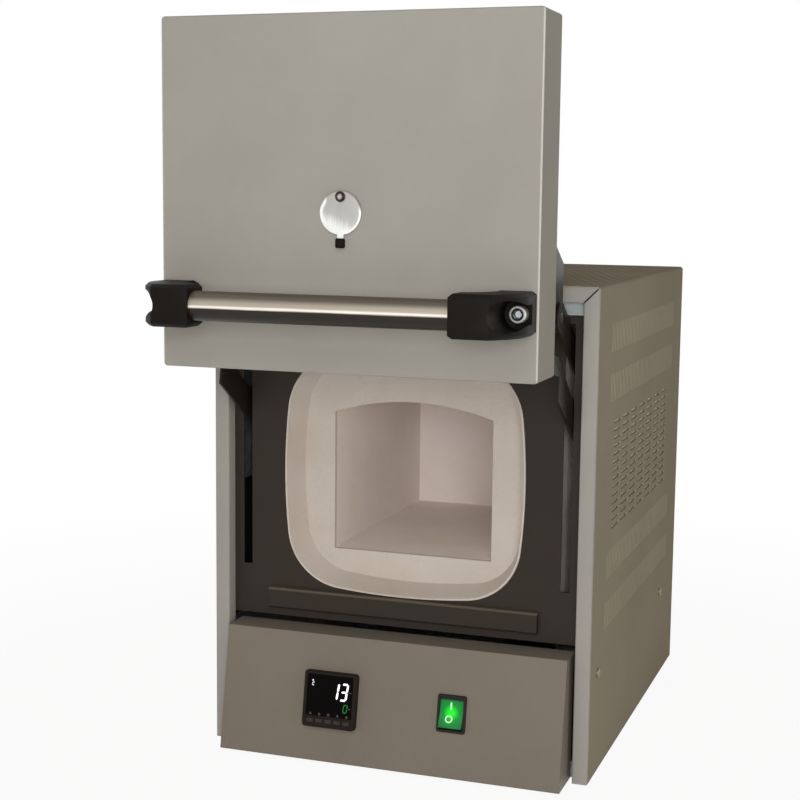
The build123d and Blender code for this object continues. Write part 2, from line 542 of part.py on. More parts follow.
def door_back():
    """Rear sheet of the door, open where the plug comes through."""
    half = DOOR_W / 2 - SHEET
    sheet = rect(-half, half, DOOR_CLOSED_Z + SHEET, DOOR_TOP - SHEET) - seat_outline(PLUG_GAP)
    return front_cut(sheet, DOOR_CLOSED_REAR - SHEET, DOOR_CLOSED_REAR)


def door_insulation():
    half = DOOR_W / 2 - SHEET
    fill = block(-half, half, DOOR_FRONT + SHEET, DOOR_CLOSED_REAR - SHEET,
                 DOOR_CLOSED_Z + SHEET, DOOR_TOP - SHEET)
    fill -= rod_y(DOOR_FRONT, DOOR_CLOSED_REAR, PEEP_X, PEEP_Z, PEEP_R + PEEP_WALL)
    fill -= rod_y(DOOR_FRONT, DOOR_FRONT + 4 * RIVET_R, PEEP_X, PEEP_Z + COVER_PIVOT, 2 * RIVET_R)
    for x in (-HANDLE_SCREW_X, HANDLE_SCREW_X):
        fill -= rod_y(DOOR_FRONT, DOOR_FRONT + 1.5 * COUNTERBORE_FLOOR, x, HANDLE_Z, HANDLE_HEAD_R)
    return fill


def door_plug():
    """Ceramic plug that enters the seat, tapered more steeply than the seat so that it swings clear."""
    inner_end = SEAT_FLOOR - PLUG_END_GAP
    body = front_cut(seat_outline(PLUG_GAP), DOOR_CLOSED_REAR - SHEET, PANEL_Y)
    base = front_plane(PANEL_Y) * seat_outline(PLUG_GAP)
    tip = front_plane(inner_end) * seat_outline(PLUG_GAP + PLUG_DRAFT)
    body += loft([base.face(), tip.face()])
    return body - rod_y(DOOR_FRONT, inner_end + 1, PEEP_X, PEEP_Z, PEEP_R + PEEP_WALL)


def peephole_tube():
    end = SEAT_FLOOR - PLUG_END_GAP
    tube = rod_y(DOOR_FRONT, end, PEEP_X, PEEP_Z, PEEP_R + PEEP_WALL)
    return tube - rod_y(DOOR_FRONT - 1, end + 1, PEEP_X, PEEP_Z, PEEP_R)


def peephole_cover():
    """Round plate that hangs on its rivet, with a narrow tab at the bottom for the knob."""
    disc = Pos(PEEP_X, PEEP_Z) * Circle(COVER_R)
    tab = rect(PEEP_X - TAB_W / 2, PEEP_X + TAB_W / 2, PEEP_Z - COVER_R - TAB_L, PEEP_Z)
    hole = Pos(PEEP_X, PEEP_Z + COVER_PIVOT) * Circle(RIVET_R + PIN_FIT)
    return front_cut(disc + tab - hole, COVER_BACK - COVER_T, COVER_BACK)


def peephole_knob():
    """Black sleeve on the end of the cover's tab, the only part that stays cool to the touch."""
    half, wall, end = TAB_W / 2, KNOB_WALL, PEEP_Z - COVER_R - TAB_L
    x0, x1, y0, y1 = PEEP_X - half, PEEP_X + half, COVER_BACK - COVER_T, COVER_BACK
    sleeve = block(x0 - wall, x1 + wall, y0 - 2 * wall, y1 + wall, end - wall, end + KNOB_L)
    sleeve = chamfer(sleeve.edges().filter_by(Axis.Y), wall)
    return sleeve - block(x0, x1, y0, y1, end, PEEP_Z)


def peephole_rivet():
    """Shoulder against the door, shank through the cover and a low round head."""
    z = PEEP_Z + COVER_PIVOT
    head_y = COVER_BACK - COVER_T - 0.2
    rivet = rod_y(head_y, DOOR_FRONT + 4, PEEP_X, z, RIVET_R)
    rivet += rod_y(COVER_BACK + 0.2, DOOR_FRONT, PEEP_X, z, 2 * RIVET_R - 1)
    head = rod_y(head_y - 1.2, head_y, PEEP_X, z, 2 * RIVET_R)
    return rivet + chamfer(head.edges().group_by(Axis.Y)[0], 0.8)


# ---- handle ----
def leg_outline():
    """Handle leg from above: socket block in front, arm curving out to the foot on the door."""
    def at(x, out):
        return x, DOOR_FRONT - out
    underside = LEG_FRONT - 2 * (LEG_FRONT - HANDLE_OUT)
    block_end = LEG_INNER + LEG_BLOCK
    foot_end, arm_end = LEG_OUTER - LEG_FOOT, LEG_INNER + ARM_LEAD
    outer_middle = at(block_end + ARM_OUTER[0], FOOT_THICK + ARM_OUTER[1])
    inner_middle = at(foot_end - ARM_INNER[0], underside - ARM_INNER[1])
    outer = ThreePointArc(at(block_end, LEG_FRONT), outer_middle, at(LEG_OUTER, FOOT_THICK))
    edge = Polyline(at(LEG_OUTER, FOOT_THICK), at(LEG_OUTER, 0), at(foot_end, 0))
    inner = ThreePointArc(at(foot_end, 0), inner_middle, at(arm_end, underside))
    front = Polyline(at(arm_end, underside), at(LEG_INNER, underside), at(LEG_INNER, LEG_FRONT),
                     at(block_end, LEG_FRONT))
    return make_face([outer, *edge.edges(), inner, *front.edges()])


def handle_leg():
    """Right leg, with the tube's blind socket and the screw's counterbore."""
    leg = extrude(Plane.XY.offset(HANDLE_Z - LEG_H / 2) * leg_outline(), LEG_H)
    leg = chamfer(leg.edges().group_by(Axis.Z)[-1] + leg.edges().group_by(Axis.Z)[0], LEG_EASE)
    leg -= rod_x(LEG_INNER - 1, LEG_INNER + SOCKET_D, HANDLE_Y, HANDLE_Z, TUBE_R)
    floor = DOOR_FRONT - COUNTERBORE_FLOOR
    leg -= rod_y(DOOR_FRONT - LEG_FRONT - 1, floor, HANDLE_SCREW_X, HANDLE_Z, COUNTERBORE_R)
    return leg - rod_y(floor - 1, DOOR_FRONT + 1, HANDLE_SCREW_X, HANDLE_Z, HANDLE_SCREW_R)


def handle_tube():
    end = LEG_INNER + SOCKET_D
    tube = rod_x(-end, end, HANDLE_Y, HANDLE_Z, TUBE_R)
    return tube - rod_x(-end - 1, end + 1, HANDLE_Y, HANDLE_Z, TUBE_R - TUBE_WALL)


def handle_screw():
    """Right socket-head screw that holds the leg to the door."""
    seat = DOOR_FRONT - COUNTERBORE_FLOOR
    face = seat - HANDLE_HEAD_H
    head = rod_y(face, seat, HANDLE_SCREW_X, HANDLE_Z, HANDLE_HEAD_R)
    head = chamfer(head.edges().group_by(Axis.Y)[0], HANDLE_HEAD_H / 10)
    shank = rod_y(seat, DOOR_FRONT + COUNTERBORE_FLOOR, HANDLE_SCREW_X, HANDLE_Z, HANDLE_SCREW_R)
    socket = extrude(RegularPolygon(HANDLE_HEX, 6), HANDLE_HEAD_H / 2)
    return head + shank - Pos(HANDLE_SCREW_X, face, HANDLE_Z) * Rot(-90, 0, 0) * socket


# ---- linkage ----
def lug(place, r, hole):
    return Pos(*place) * Circle(r) - Pos(*place) * Circle(hole)


def door_bracket():
    """Right bracket: flange on the door's rear, a long ear for the upper link, a short one for the lower."""
    (uy, uz), (ly, lz) = UPPER_SHUT, LOWER_SHUT
    rear = DOOR_CLOSED_REAR
    ear = make_face(Polyline((rear, uz + EAR_UNDER), (rear, uz + EAR_HEIGHT), (uy + LUG_R, uz + EAR_NOSE),
                             (uy + LUG_R, uz), (uy, uz), (uy - LUG_R, uz + EAR_UNDER), close=True))
    ear += Pos(uy, uz) * Circle(LUG_R)
    ear -= Pos(uy - EAR_HOLE_PLACE[0], uz + EAR_HOLE_PLACE[1]) * Circle(EAR_HOLE)
    toe = rect(rear, ly, lz - TOE_R, lz + TOE_R) + Pos(ly, lz) * Circle(TOE_R)
    plate = rect(rear, rear + LINK_T, lz - TOE_R, uz + BRACKET_TOP)
    outline = ear + toe + plate - Pos(uy, uz) * Circle(PIN_R) - Pos(ly, lz) * Circle(PIN_R)
    x0, x1 = BRACKET_X - BRACKET_FLANGE, BRACKET_X + LINK_T
    flange = block(x0, x1, rear, rear + LINK_T, lz - TOE_R, uz + BRACKET_TOP)
    return side_cut(outline, BRACKET_X, BRACKET_X + LINK_T) + flange


def door_pins():
    """Right pins, flush in the bracket and the links."""
    upper = rod_x(BRACKET_X, UPPER_LINK_X + LINK_T, *UPPER_SHUT, PIN_R)
    lower = rod_x(BRACKET_X, LOWER_LINK_X + LINK_T, *LOWER_SHUT, PIN_R)
    return Compound([upper.solid(), lower.solid()])


def swing_open(shape, anchor):
    """Turn a link from its shut place to its stored one about its fixed pin."""
    return shape.rotate(Axis((0, *anchor), (1, 0, 0)), -SWING_DEG)


def strip(anchor):
    """Straight stretch of a link from its fixed pin, in its shut place."""
    reach = radians(CLOSED_DEG)
    middle = (anchor[0] - LINK_LEN / 2 * cos(reach), anchor[1] + LINK_LEN / 2 * sin(reach))
    return Pos(*middle) * Rot(0, 0, -CLOSED_DEG) * Rectangle(LINK_LEN, LINK_W)


def upper_link():
    """Right upper link: a straight bar with round ends."""
    bar = strip(UPPER_ANCHOR)
    for place in (UPPER_ANCHOR, UPPER_SHUT):
        bar += Pos(*place) * Circle(LINK_W / 2)
    for place in (UPPER_ANCHOR, UPPER_SHUT):
        bar -= Pos(*place) * Circle(PIN_R + PIN_FIT)
    return swing_open(side_cut(bar, UPPER_LINK_X, UPPER_LINK_X + LINK_T), UPPER_ANCHOR)


def lower_link():
    """Right lower link: passes the slot, then its toe runs down in front of the panel when shut."""
    (ay, az), (ly, lz) = LOWER_ANCHOR, LOWER_SHUT
    sole = SLOT_Z0 + SLOT_CLEAR
    lean = radians(-CLOSED_DEG)
    bar = strip(LOWER_ANCHOR) & rect(ly - LINK_LEN, ay + LINK_W, sole, az + LINK_W)
    knee_z = sole + KNEE_UP
    knee_y = ay - (az - knee_z) / tan(lean) - LINK_W / 2 / sin(lean)
    toe = make_face(Polyline((ly - TOE_R, lz), (ly + TOE_R, lz), (ly + TOE_R, sole + 1),
                             (knee_y + KNEE_EASE[0], knee_z - KNEE_EASE[1]), (knee_y, knee_z),
                             (ly - TOE_R, lz + TOE_HEEL), close=True))
    bar = bar + toe + Pos(ly, lz) * Circle(TOE_R) + Pos(ay, az) * Circle(LINK_W / 2)
    bar -= Pos(ly, lz) * Circle(PIN_R + OPEN_PIVOT_FIT)
    bar -= Pos(ay, az) * Circle(PIN_R + PIN_FIT)
    return swing_open(side_cut(bar, LOWER_LINK_X, LOWER_LINK_X + LINK_T), LOWER_ANCHOR)


def pivot_frame():
    """Right frame behind the front panel that carries both fixed pins."""
    (uy, uz), (ly, lz) = UPPER_ANCHOR, LOWER_ANCHOR
    z0, z1 = lz - FRAME_MARGIN, uz + FRAME_MARGIN
    y1, head_y = uy + FRAME_REACH, PANEL_BACK + FRAME_HEAD
    outline = make_face(Polyline((PANEL_BACK, z0), (PANEL_BACK, z1), (head_y, z1), (y1, uz + FRAME_REACH),
                                 (y1, uz - FRAME_REACH), (ly + FRAME_REACH, lz - FRAME_REACH), (head_y, z0),
                                 close=True))
    for place in (UPPER_ANCHOR, LOWER_ANCHOR):
        outline -= Pos(*place) * Circle(PIN_R)
    outline -= Pos(PANEL_BACK + 2 * FRAME_HOLE, uz) * Circle(FRAME_HOLE)
    flange = block(FRAME_X, FRAME_X + FRAME_FLANGE, PANEL_BACK, PANEL_BACK + FRAME_T, z0, z1)
    return side_cut(outline, FRAME_X, FRAME_X + FRAME_T) + flange


def pivot_pins():
    """Right fixed pins: shank in the link and the frame, with a shoulder between them."""
    pins = []
    for link_x, place in ((UPPER_LINK_X, UPPER_ANCHOR), (LOWER_LINK_X, LOWER_ANCHOR)):
        shoulder_x = link_x + LINK_T + LINK_GAP
        pin = rod_x(link_x, FRAME_X + FRAME_T, *place, PIN_R)
        pin += rod_x(shoulder_x, FRAME_X, *place, PIN_R + SHOULDER)
        pins.append(pin.solid())
    return Compound(pins)


# ---- control panel ----
def on_fascia(x, u, n=0.0):
    """Place on the sloped face: x across, u up the slope, n outwards."""
    return FASCIA_PLANE.location * Pos(x, u, n)


def control_panel():
    """Sloped fascia with side cheeks and a top ledge, cut for the controller and the switch."""
    half = FASCIA_W / 2
    ledge_y, ledge_z = PANEL_BACK + LEDGE_REACH, FASCIA_H - 2 * LEDGE_REACH
    outer = Polyline((FASCIA_FOOT_Y, 0), (FASCIA_TOP_Y, FASCIA_H), (ledge_y, FASCIA_H),
                     (ledge_y, ledge_z), (PANEL_BACK, ledge_z), (PANEL_BACK, 0), close=True)
    body = side_cut(make_face(outer), -half, half)
    body = fillet(body.edges().filter_by(Axis.X).group_by(Axis.Y)[0], FASCIA_T)
    y1, z0, z1 = ledge_y + FASCIA_T, FASCIA_T, FASCIA_H - FASCIA_T
    inside = Polyline((FASCIA_FOOT_Y + 2 * FASCIA_T, z0), (FASCIA_TOP_Y + FASCIA_T, z1), (y1, z1), (y1, z0),
                      close=True)
    body -= side_cut(make_face(inside), -half + FASCIA_T, half - FASCIA_T)
    hole = CONTROLLER_BODY
    body -= on_fascia(CONTROLLER_X, CONTROLLER_U) * Box(hole, hole, hole)
    return body - on_fascia(SWITCH_X, SWITCH_U) * Box(SWITCH_W - SWITCH_BODY, SWITCH_H - SWITCH_BODY, hole)


def key_places():
    first = -KEY_PITCH * (KEYS - 1) / 2
    return [first + KEY_PITCH * i for i in range(KEYS)]


def controller_body():
    """Panel controller: rounded bezel, window recess, key wells and a deep case behind the fascia."""
    bezel = Pos(0, 0, CONTROLLER_LIP / 2) * Box(CONTROLLER_W, CONTROLLER_W, CONTROLLER_LIP)
    bezel = fillet(bezel.edges().filter_by(Axis.Z), CONTROLLER_LIP / 2)
    bezel = chamfer(bezel.edges().group_by(Axis.Z)[-1], CONTROLLER_LIP / 6)
    rear = Pos(0, 0, -CONTROLLER_DEPTH / 2) * Box(CONTROLLER_BODY, CONTROLLER_BODY, CONTROLLER_DEPTH)
    body = bezel + rear
    body -= Pos(0, LENS_UP, CONTROLLER_LIP - LENS_T / 2) * Box(LENS_W, LENS_H, LENS_T)
    well = Box(KEY_W + 2 * KEY_GAP, KEY_H + 2 * KEY_GAP, 2 * KEY_WELL)
    body -= [Pos(x, -KEY_DOWN, CONTROLLER_LIP) * well for x in key_places()]
    return on_fascia(CONTROLLER_X, CONTROLLER_U) * body


def controller_lens():
    lens = Pos(0, LENS_UP, CONTROLLER_LIP - LENS_T / 2) * Box(LENS_W, LENS_H, LENS_T)
    return on_fascia(CONTROLLER_X, CONTROLLER_U) * lens


def controller_key(x):
    """One key, standing slightly proud, with its travel left under it."""
    foot = CONTROLLER_LIP - KEY_WELL + KEY_TRAVEL + KEY_GAP / 2
    height = CONTROLLER_LIP + KEY_PROUD - foot
    cap = Pos(x, -KEY_DOWN, foot + height / 2) * Box(KEY_W, KEY_H, height)
    cap = chamfer(cap.edges().group_by(Axis.Z)[-1], KEY_PROUD / 2)
    return on_fascia(CONTROLLER_X, CONTROLLER_U) * cap


def switch_bezel():
    """Rocker switch housing, snapped into the fascia."""
    lip = Pos(0, 0, SWITCH_LIP / 2) * Box(SWITCH_W, SWITCH_H, SWITCH_LIP)
    lip = fillet(lip.edges().filter_by(Axis.Z), SWITCH_LIP * 0.8)
    lip = chamfer(lip.edges().group_by(Axis.Z)[-1], SWITCH_LIP / 4)
    width, height = SWITCH_W - SWITCH_BODY, SWITCH_H - SWITCH_BODY
    body = lip + Pos(0, 0, -SWITCH_DEPTH / 2) * Box(width, height, SWITCH_DEPTH)
    body -= Box(ROCKER_W + 2 * ROCKER_GAP, 2 * (ROCKER_R + ROCKER_GAP), 2 * SWITCH_WELL)
    return on_fascia(SWITCH_X, SWITCH_U) * body


def switch_rocker():
    """Rocker with a shallow V face and round ends, pressed in at the top: switched on."""
    r, end, dip, deep = ROCKER_R, ROCKER_FACE, ROCKER_DIP, -ROCKER_DEEP
    face = Polyline((-r, end), (0, dip), (r, end), (r, deep), (-r, deep), close=True)
    profile = make_face(face) & Circle(r)
    paddle = side_cut(Rot(0, 0, -ROCKER_TILT) * profile, -ROCKER_W / 2, ROCKER_W / 2)
    return on_fascia(SWITCH_X, SWITCH_U, ROCKER_N) * paddle


# ---- all nodes ----
def door_nodes():
    drawn_shut = {
        "door_shell": door_shell(),
        "door_back_plate": door_back(),
        "door_insulation": door_insulation(),
        "door_plug": door_plug(),
        "peephole_tube": peephole_tube(),
        "peephole_cover": peephole_cover(),
        "peephole_knob": peephole_knob(),
        "peephole_rivet": peephole_rivet(),
        "handle_tube": handle_tube(),
        "handle_leg_right": handle_leg(),
        "handle_leg_left": flip(handle_leg()),
        "handle_screws": both(handle_screw()),
        "door_bracket_right": door_bracket(),
        "door_bracket_left": flip(door_bracket()),
        "door_pins": both(door_pins()),
    }
    return {name: OPENED * shape for name, shape in drawn_shut.items()}


def linkage_nodes():
    return {
        "upper_link_right": upper_link(),
        "upper_link_left": flip(upper_link()),
        "lower_link_right": lower_link(),
        "lower_link_left": flip(lower_link()),
        "pivot_frame_right": pivot_frame(),
        "pivot_frame_left": flip(pivot_frame()),
        "pivot_pins": both(pivot_pins()),
    }


def case_nodes():
    return {
        "outer_case": outer_case(),
        "base_pan": base_pan(),
        "feet": feet(),
        "rear_cover": rear_cover(),
        "side_screws": side_screws(),
        "rear_screws": rear_screws(),
        "front_panel": front_panel(),
        "lintel_strip": lintel(),
        "sill_step": sill(),
        "power_relay": power_relay(),
        "terminal_block": terminal_block(),
        "cable_gland": cable_gland(),
    }


def chamber_nodes():
    return {
        "muffle_collar": collar(),
        "muffle_chamber": muffle(),
        "insulation_bottom": insulation_bottom(),
        "insulation_top": insulation_top(),
        "insulation_right": insulation_side(),
        "insulation_left": flip(insulation_side()),
        "insulation_rear": insulation_rear(),
        "insulation_shelf": insulation_shelf(),
        "heating_element_right": heating_element(),
        "heating_element_left": flip(heating_element()),
        "thermocouple": thermocouple(),
        "flue_tube": flue_tube(),
    }


def control_nodes():
    nodes = {
        "control_panel": control_panel(),
        "controller_body": controller_body(),
        "controller_lens": controller_lens(),
        "switch_bezel": switch_bezel(),
        "switch_rocker": switch_rocker(),
    }
    for number, x in enumerate(key_places(), start=1):
        nodes[f"controller_key_{number}"] = controller_key(x)
    return nodes


os.makedirs("parts", exist_ok=True)
for group in (case_nodes(), chamber_nodes(), door_nodes(), linkage_nodes(), control_nodes()):
    for name, shape in group.items():
        export_step(TO_BASE_CENTRE * shape, f"parts/{name}.step")
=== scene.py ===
import math

import bmesh
import bpy
from mathutils import Matrix, Vector


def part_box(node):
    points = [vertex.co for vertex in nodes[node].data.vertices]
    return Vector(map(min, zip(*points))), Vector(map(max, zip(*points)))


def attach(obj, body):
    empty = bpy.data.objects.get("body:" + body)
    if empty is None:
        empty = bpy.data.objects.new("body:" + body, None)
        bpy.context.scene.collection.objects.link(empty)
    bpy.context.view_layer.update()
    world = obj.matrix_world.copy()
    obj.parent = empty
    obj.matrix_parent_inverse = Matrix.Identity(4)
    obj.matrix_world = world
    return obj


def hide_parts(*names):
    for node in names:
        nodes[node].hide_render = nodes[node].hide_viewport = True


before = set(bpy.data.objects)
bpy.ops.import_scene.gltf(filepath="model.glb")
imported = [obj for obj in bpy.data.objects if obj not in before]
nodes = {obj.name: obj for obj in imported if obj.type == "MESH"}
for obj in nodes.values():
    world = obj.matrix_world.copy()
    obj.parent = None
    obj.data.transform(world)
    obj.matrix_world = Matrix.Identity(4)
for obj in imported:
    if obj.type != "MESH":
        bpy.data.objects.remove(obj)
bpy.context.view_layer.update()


# ---- Camera and lamps ----
# The furnace stands on a pale floor in a white room and is seen from its right front corner, a
# little above the raised door's handle. A soft lamp in front of it does most of the work.

MM = 0.001
CAMERA_PLACE = (433.97, -1241.26, 485.97)
CAMERA_YAW, CAMERA_PITCH, CAMERA_ROLL = 19.1995, 7.5012, 0.6372  # degrees, left, down and leaning
FOCAL_PIXELS, FRAME_PIXELS, SENSOR = 1585.47, 800, 36.0
LAMPS = {  # place and aim in metres, watts, size in metres, tint
    "front_lamp": ((0.62, -1.93, 0.62), (0, 0, 0.32), 15.5, 0.7, (1.0, 1.0, 1.0)),
    "high_lamp": ((0.15, -1.75, 1.55), (0, 0, 0.25), 7, 0.9, (1.0, 1.0, 1.0)),
    "left_lamp": ((-1.9, -1.2, 0.8), (0, 0, 0.30), 5, 1.2, (1.0, 0.96, 0.90)),
    "right_lamp": ((2.1, -0.7, 0.25), (0.1, 0.1, 0.15), 6.5, 1.2, (1.0, 0.95, 0.86)),
    "rear_lamp": ((-0.6, 2.2, 0.9), (0, 0, 0.25), 9, 1.2, (1.0, 0.95, 0.88)),
}

case_low, case_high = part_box("outer_case")


def at(x, y, z):
    """A place in millimetres from the middle of the case's lower front edge, in the row frame."""
    return Vector((x * MM, case_low.y + y * MM, case_low.z + z * MM))


def clear_selection():
    for thing in bpy.context.selected_objects:
        thing.select_set(False)


clear_selection()
lens = bpy.data.cameras.new("camera")
lens.sensor_width = SENSOR
lens.lens = FOCAL_PIXELS / FRAME_PIXELS * SENSOR
lens.clip_start, lens.clip_end = 0.05, 30
camera = bpy.data.objects.new("camera", lens)
bpy.context.scene.collection.objects.link(camera)
turn = Matrix.Rotation(math.radians(CAMERA_YAW), 4, "Z")
turn = turn @ Matrix.Rotation(math.radians(90 - CAMERA_PITCH), 4, "X")
turn = turn @ Matrix.Rotation(math.radians(CAMERA_ROLL), 4, "Z")
camera.matrix_world = Matrix.Translation(at(*CAMERA_PLACE)) @ turn
bpy.context.scene.camera = camera
bpy.context.scene.view_settings.view_transform = "Standard"


for name, (place, aim, watts, size, tint) in LAMPS.items():
    light = bpy.data.lights.new(name, "AREA")
    light.energy, light.size, light.color = watts, size, tint
    lamp = bpy.data.objects.new(name, light)
    bpy.context.scene.collection.objects.link(lamp)
    facing = (Vector(aim) - Vector(place)).to_track_quat("-Z", "Y").to_matrix().to_4x4()
    lamp.matrix_world = Matrix.Translation(place) @ facing


# ---- Floor and room ----
# A plain white floor under a white room. The floor takes the furnace's shadow and is pure white
# further out, so that it has no horizon; the room adds a weak warm glow.

FLOOR_SIZE, SHADOW_NEAR, SHADOW_FAR = 24.0, 0.35, 1.1
SHADOW_SHARE = 0.08  # of the real floor near the furnace; the rest is plain white
ROOM_LEVEL, ROOM_TINT = 0.16, (1.0, 0.92, 0.78, 1.0)


class Value:
    """A shader socket that takes part in sums, such as 1 - mask * 0.5."""

    def __init__(self, finish, socket):
        self.finish, self.socket = finish, socket

    def work(self, operation, *terms):
        node = self.finish.add("ShaderNodeMath", {"operation": operation}, terms)
        return Value(self.finish, node.outputs[0])

    def __add__(self, other):
        return self.work("ADD", self, other)

    def __sub__(self, other):
        return self.work("SUBTRACT", self, other)

    def __rsub__(self, other):
        return self.work("SUBTRACT", other, self)

    def __mul__(self, other):
        return self.work("MULTIPLY", self, other)

    def __truediv__(self, other):
        return self.work("DIVIDE", self, other)

    def __pow__(self, other):
        return self.work("POWER", self, other)

    def __abs__(self):
        return self.work("ABSOLUTE", self)

    __radd__ = __add__
    __rmul__ = __mul__

    def at_least(self, other):
        return self.work("MAXIMUM", self, other)


def colour(red, green, blue):
    """Screen colour, 0 to 255, as Blender's linear one."""
    parts = [min(c, 255) / 255 for c in (red, green, blue)]
    return [p / 12.92 if p <= 0.04045 else ((p + 0.055) / 1.055) ** 2.4 for p in parts] + [1.0]


class Finish:
    """A node material. add() is the one way to make a node; the other methods are short names for it."""

    def __init__(self, name, base=None, roughness=0.5, metallic=0.0, specular=0.5):
        self.material = bpy.data.materials.new(name)
        self.material.use_nodes = True
        self.tree = self.material.node_tree
        self.surface = self.tree.nodes["Principled BSDF"]
        if base is not None:
            self.feed("Base Color", base)
        self.feed("Roughness", roughness)
        self.surface.inputs["Metallic"].default_value = metallic
        self.surface.inputs["Specular IOR Level"].default_value = specular

    def add(self, kind, settings=None, values=()):
        node = self.tree.nodes.new(kind)
        for name, setting in (settings or {}).items():
            if name == "stops":
                stops = node.color_ramp.elements
                while len(stops) < len(setting):
                    stops.new(1.0)
                for stop, (place, tone) in zip(stops, setting):
                    stop.position, stop.color = place, tone
            else:
                setattr(node, name, setting)
        pairs = values.items() if isinstance(values, dict) else enumerate(values)
        for key, value in pairs:
            self.join(node.inputs[key], value)
        return node

    def join(self, socket, value):
        if isinstance(value, Value):
            self.tree.links.new(value.socket, socket)
        elif isinstance(value, bpy.types.NodeSocket):
            self.tree.links.new(value, socket)
        else:
            socket.default_value = value

    def feed(self, name, value):
        self.join(self.surface.inputs[name], value)

    def place(self, scale=(1, 1, 1), move=(0, 0, 0), turn=(0, 0, 0)):
        """Coordinates on the piece, in metres, scaled, turned and moved."""
        spot = self.add("ShaderNodeTexCoord").outputs["Object"]
        values = {"Vector": spot, "Scale": scale, "Location": move, "Rotation": turn}
        return self.add("ShaderNodeMapping", {"vector_type": "POINT"}, values).outputs[0]

    def axes(self, place=None):
        """The three coordinates of a place, in metres; the piece's own where none is given."""
        spot = place if place is not None else self.add("ShaderNodeTexCoord").outputs["Object"]
        split = self.add("ShaderNodeSeparateXYZ", None, [spot])
        return [Value(self, output) for output in split.outputs]

    def noise(self, scale, detail=3.0, roughness=0.5, vector=None):
        values = {"Scale": scale, "Detail": detail, "Roughness": roughness}
        values["Vector"] = vector if vector is not None else self.place()
        return Value(self, self.add("ShaderNodeTexNoise", None, values).outputs[0])

    def fade(self, value, start, end):
        """0 at the start, 1 at the end and beyond, straight between."""
        limits = {0: value, 1: start, 2: end, 3: 0.0, 4: 1.0}
        return Value(self, self.add("ShaderNodeMapRange", {"clamp": True}, limits).outputs[0])

    def shades(self, value, *stops):
        """Colours along a value from 0 to 1, given as (place, screen colour)."""
        tones = [(place, colour(*tone)) for place, tone in stops]
        return self.add("ShaderNodeValToRGB", {"stops": tones}, [value]).outputs[0]

    def blend(self, factor, low, high):
        values = {0: factor, 6: low, 7: high}
        return self.add("ShaderNodeMix", {"data_type": "RGBA"}, values).outputs[2]

    def mottle(self, scale, low, high, detail=3):
        """Base colour that drifts between two screen colours."""
        self.feed("Base Color", self.blend(self.noise(scale, detail), colour(*low), colour(*high)))

    def wear(self, scale, lowest, spread, detail=3):
        """Roughness that varies over the surface."""
        self.feed("Roughness", self.noise(scale, detail) * spread + lowest)

    def tint(self, factor, tone):
        """Lays another screen colour over the base by a mask."""
        base = self.surface.inputs["Base Color"].links[0].from_socket
        self.feed("Base Color", self.blend(factor, base, colour(*tone)))

    def bump(self, height, distance, strength=1.0):
        values = {"Height": height, "Distance": distance, "Strength": strength}
        self.feed("Normal", self.add("ShaderNodeBump", None, values).outputs[0])


def dress(finish, *names):
    """The CAD node keeps its mesh and takes this material."""
    for name in names:
        slots = nodes[name].data.materials
        slots.clear()
        slots.append(finish.material)


world = bpy.data.worlds.new("room")
bpy.context.scene.world = world
world.use_nodes = True
room = world.node_tree
rays = room.nodes.new("ShaderNodeLightPath")
seen = room.nodes.new("ShaderNodeMath")
seen.operation = "MAXIMUM"
room.links.new(rays.outputs["Is Camera Ray"], seen.inputs[0])
room.links.new(rays.outputs["Is Transmission Ray"], seen.inputs[1])
shiny = room.nodes.new("ShaderNodeMath")
shiny.operation = "MAXIMUM"
room.links.new(seen.outputs[0], shiny.inputs[0])
room.links.new(rays.outputs["Is Glossy Ray"], shiny.inputs[1])
level = room.nodes.new("ShaderNodeMapRange")
level.inputs["To Min"].default_value = ROOM_LEVEL
level.inputs["To Max"].default_value = 1.0
room.links.new(shiny.outputs[0], level.inputs["Value"])
room.links.new(level.outputs[0], room.nodes["Background"].inputs["Strength"])
hue = room.nodes.new("ShaderNodeMix")
hue.data_type = "RGBA"
hue.inputs[6].default_value = ROOM_TINT
hue.inputs[7].default_value = (1, 1, 1, 1)
room.links.new(shiny.outputs[0], hue.inputs[0])
room.links.new(hue.outputs[2], room.nodes["Background"].inputs["Color"])

bpy.ops.mesh.primitive_plane_add(size=FLOOR_SIZE)
floor = bpy.context.object
floor.name = "floor"
bpy.ops.object.mode_set(mode="EDIT")
bpy.ops.mesh.subdivide(number_cuts=8)
bpy.ops.object.mode_set(mode="OBJECT")
white = Finish("floor_white", colour(250, 250, 250), 0.9, specular=0.1)
path = white.add("ShaderNodeLightPath")
camera_ray, glossy_ray, clear_ray = [Value(white, path.outputs[f"Is {kind} Ray"]) for kind in
                                     ("Camera", "Glossy", "Transmission")]
direct = camera_ray.at_least(glossy_ray).at_least(clear_ray)
across, along, _ = white.axes()
reach = (across * across + along * along) ** 0.5
clear = white.fade(reach, SHADOW_NEAR, SHADOW_FAR) * SHADOW_SHARE + (1 - SHADOW_SHARE)
glow = white.add("ShaderNodeEmission", None, {"Color": (1, 1, 1, 1), "Strength": 1.0}).outputs[0]
both = white.add("ShaderNodeMixShader", None, [direct * clear, white.surface.outputs[0], glow])
white.join(white.tree.nodes["Material Output"].inputs["Surface"], both.outputs[0])
floor.data.materials.append(white.material)
clear_selection()


# ---- Case sheet ----
# Top and sides folded in one from 1.2 mm steel and perforated before folding: four bands of fine
# upright slots and a field of level ones in each side, and staggered slots all over the top. It is
# powder-coated warm grey, half matt, with a fine orange-peel skin.

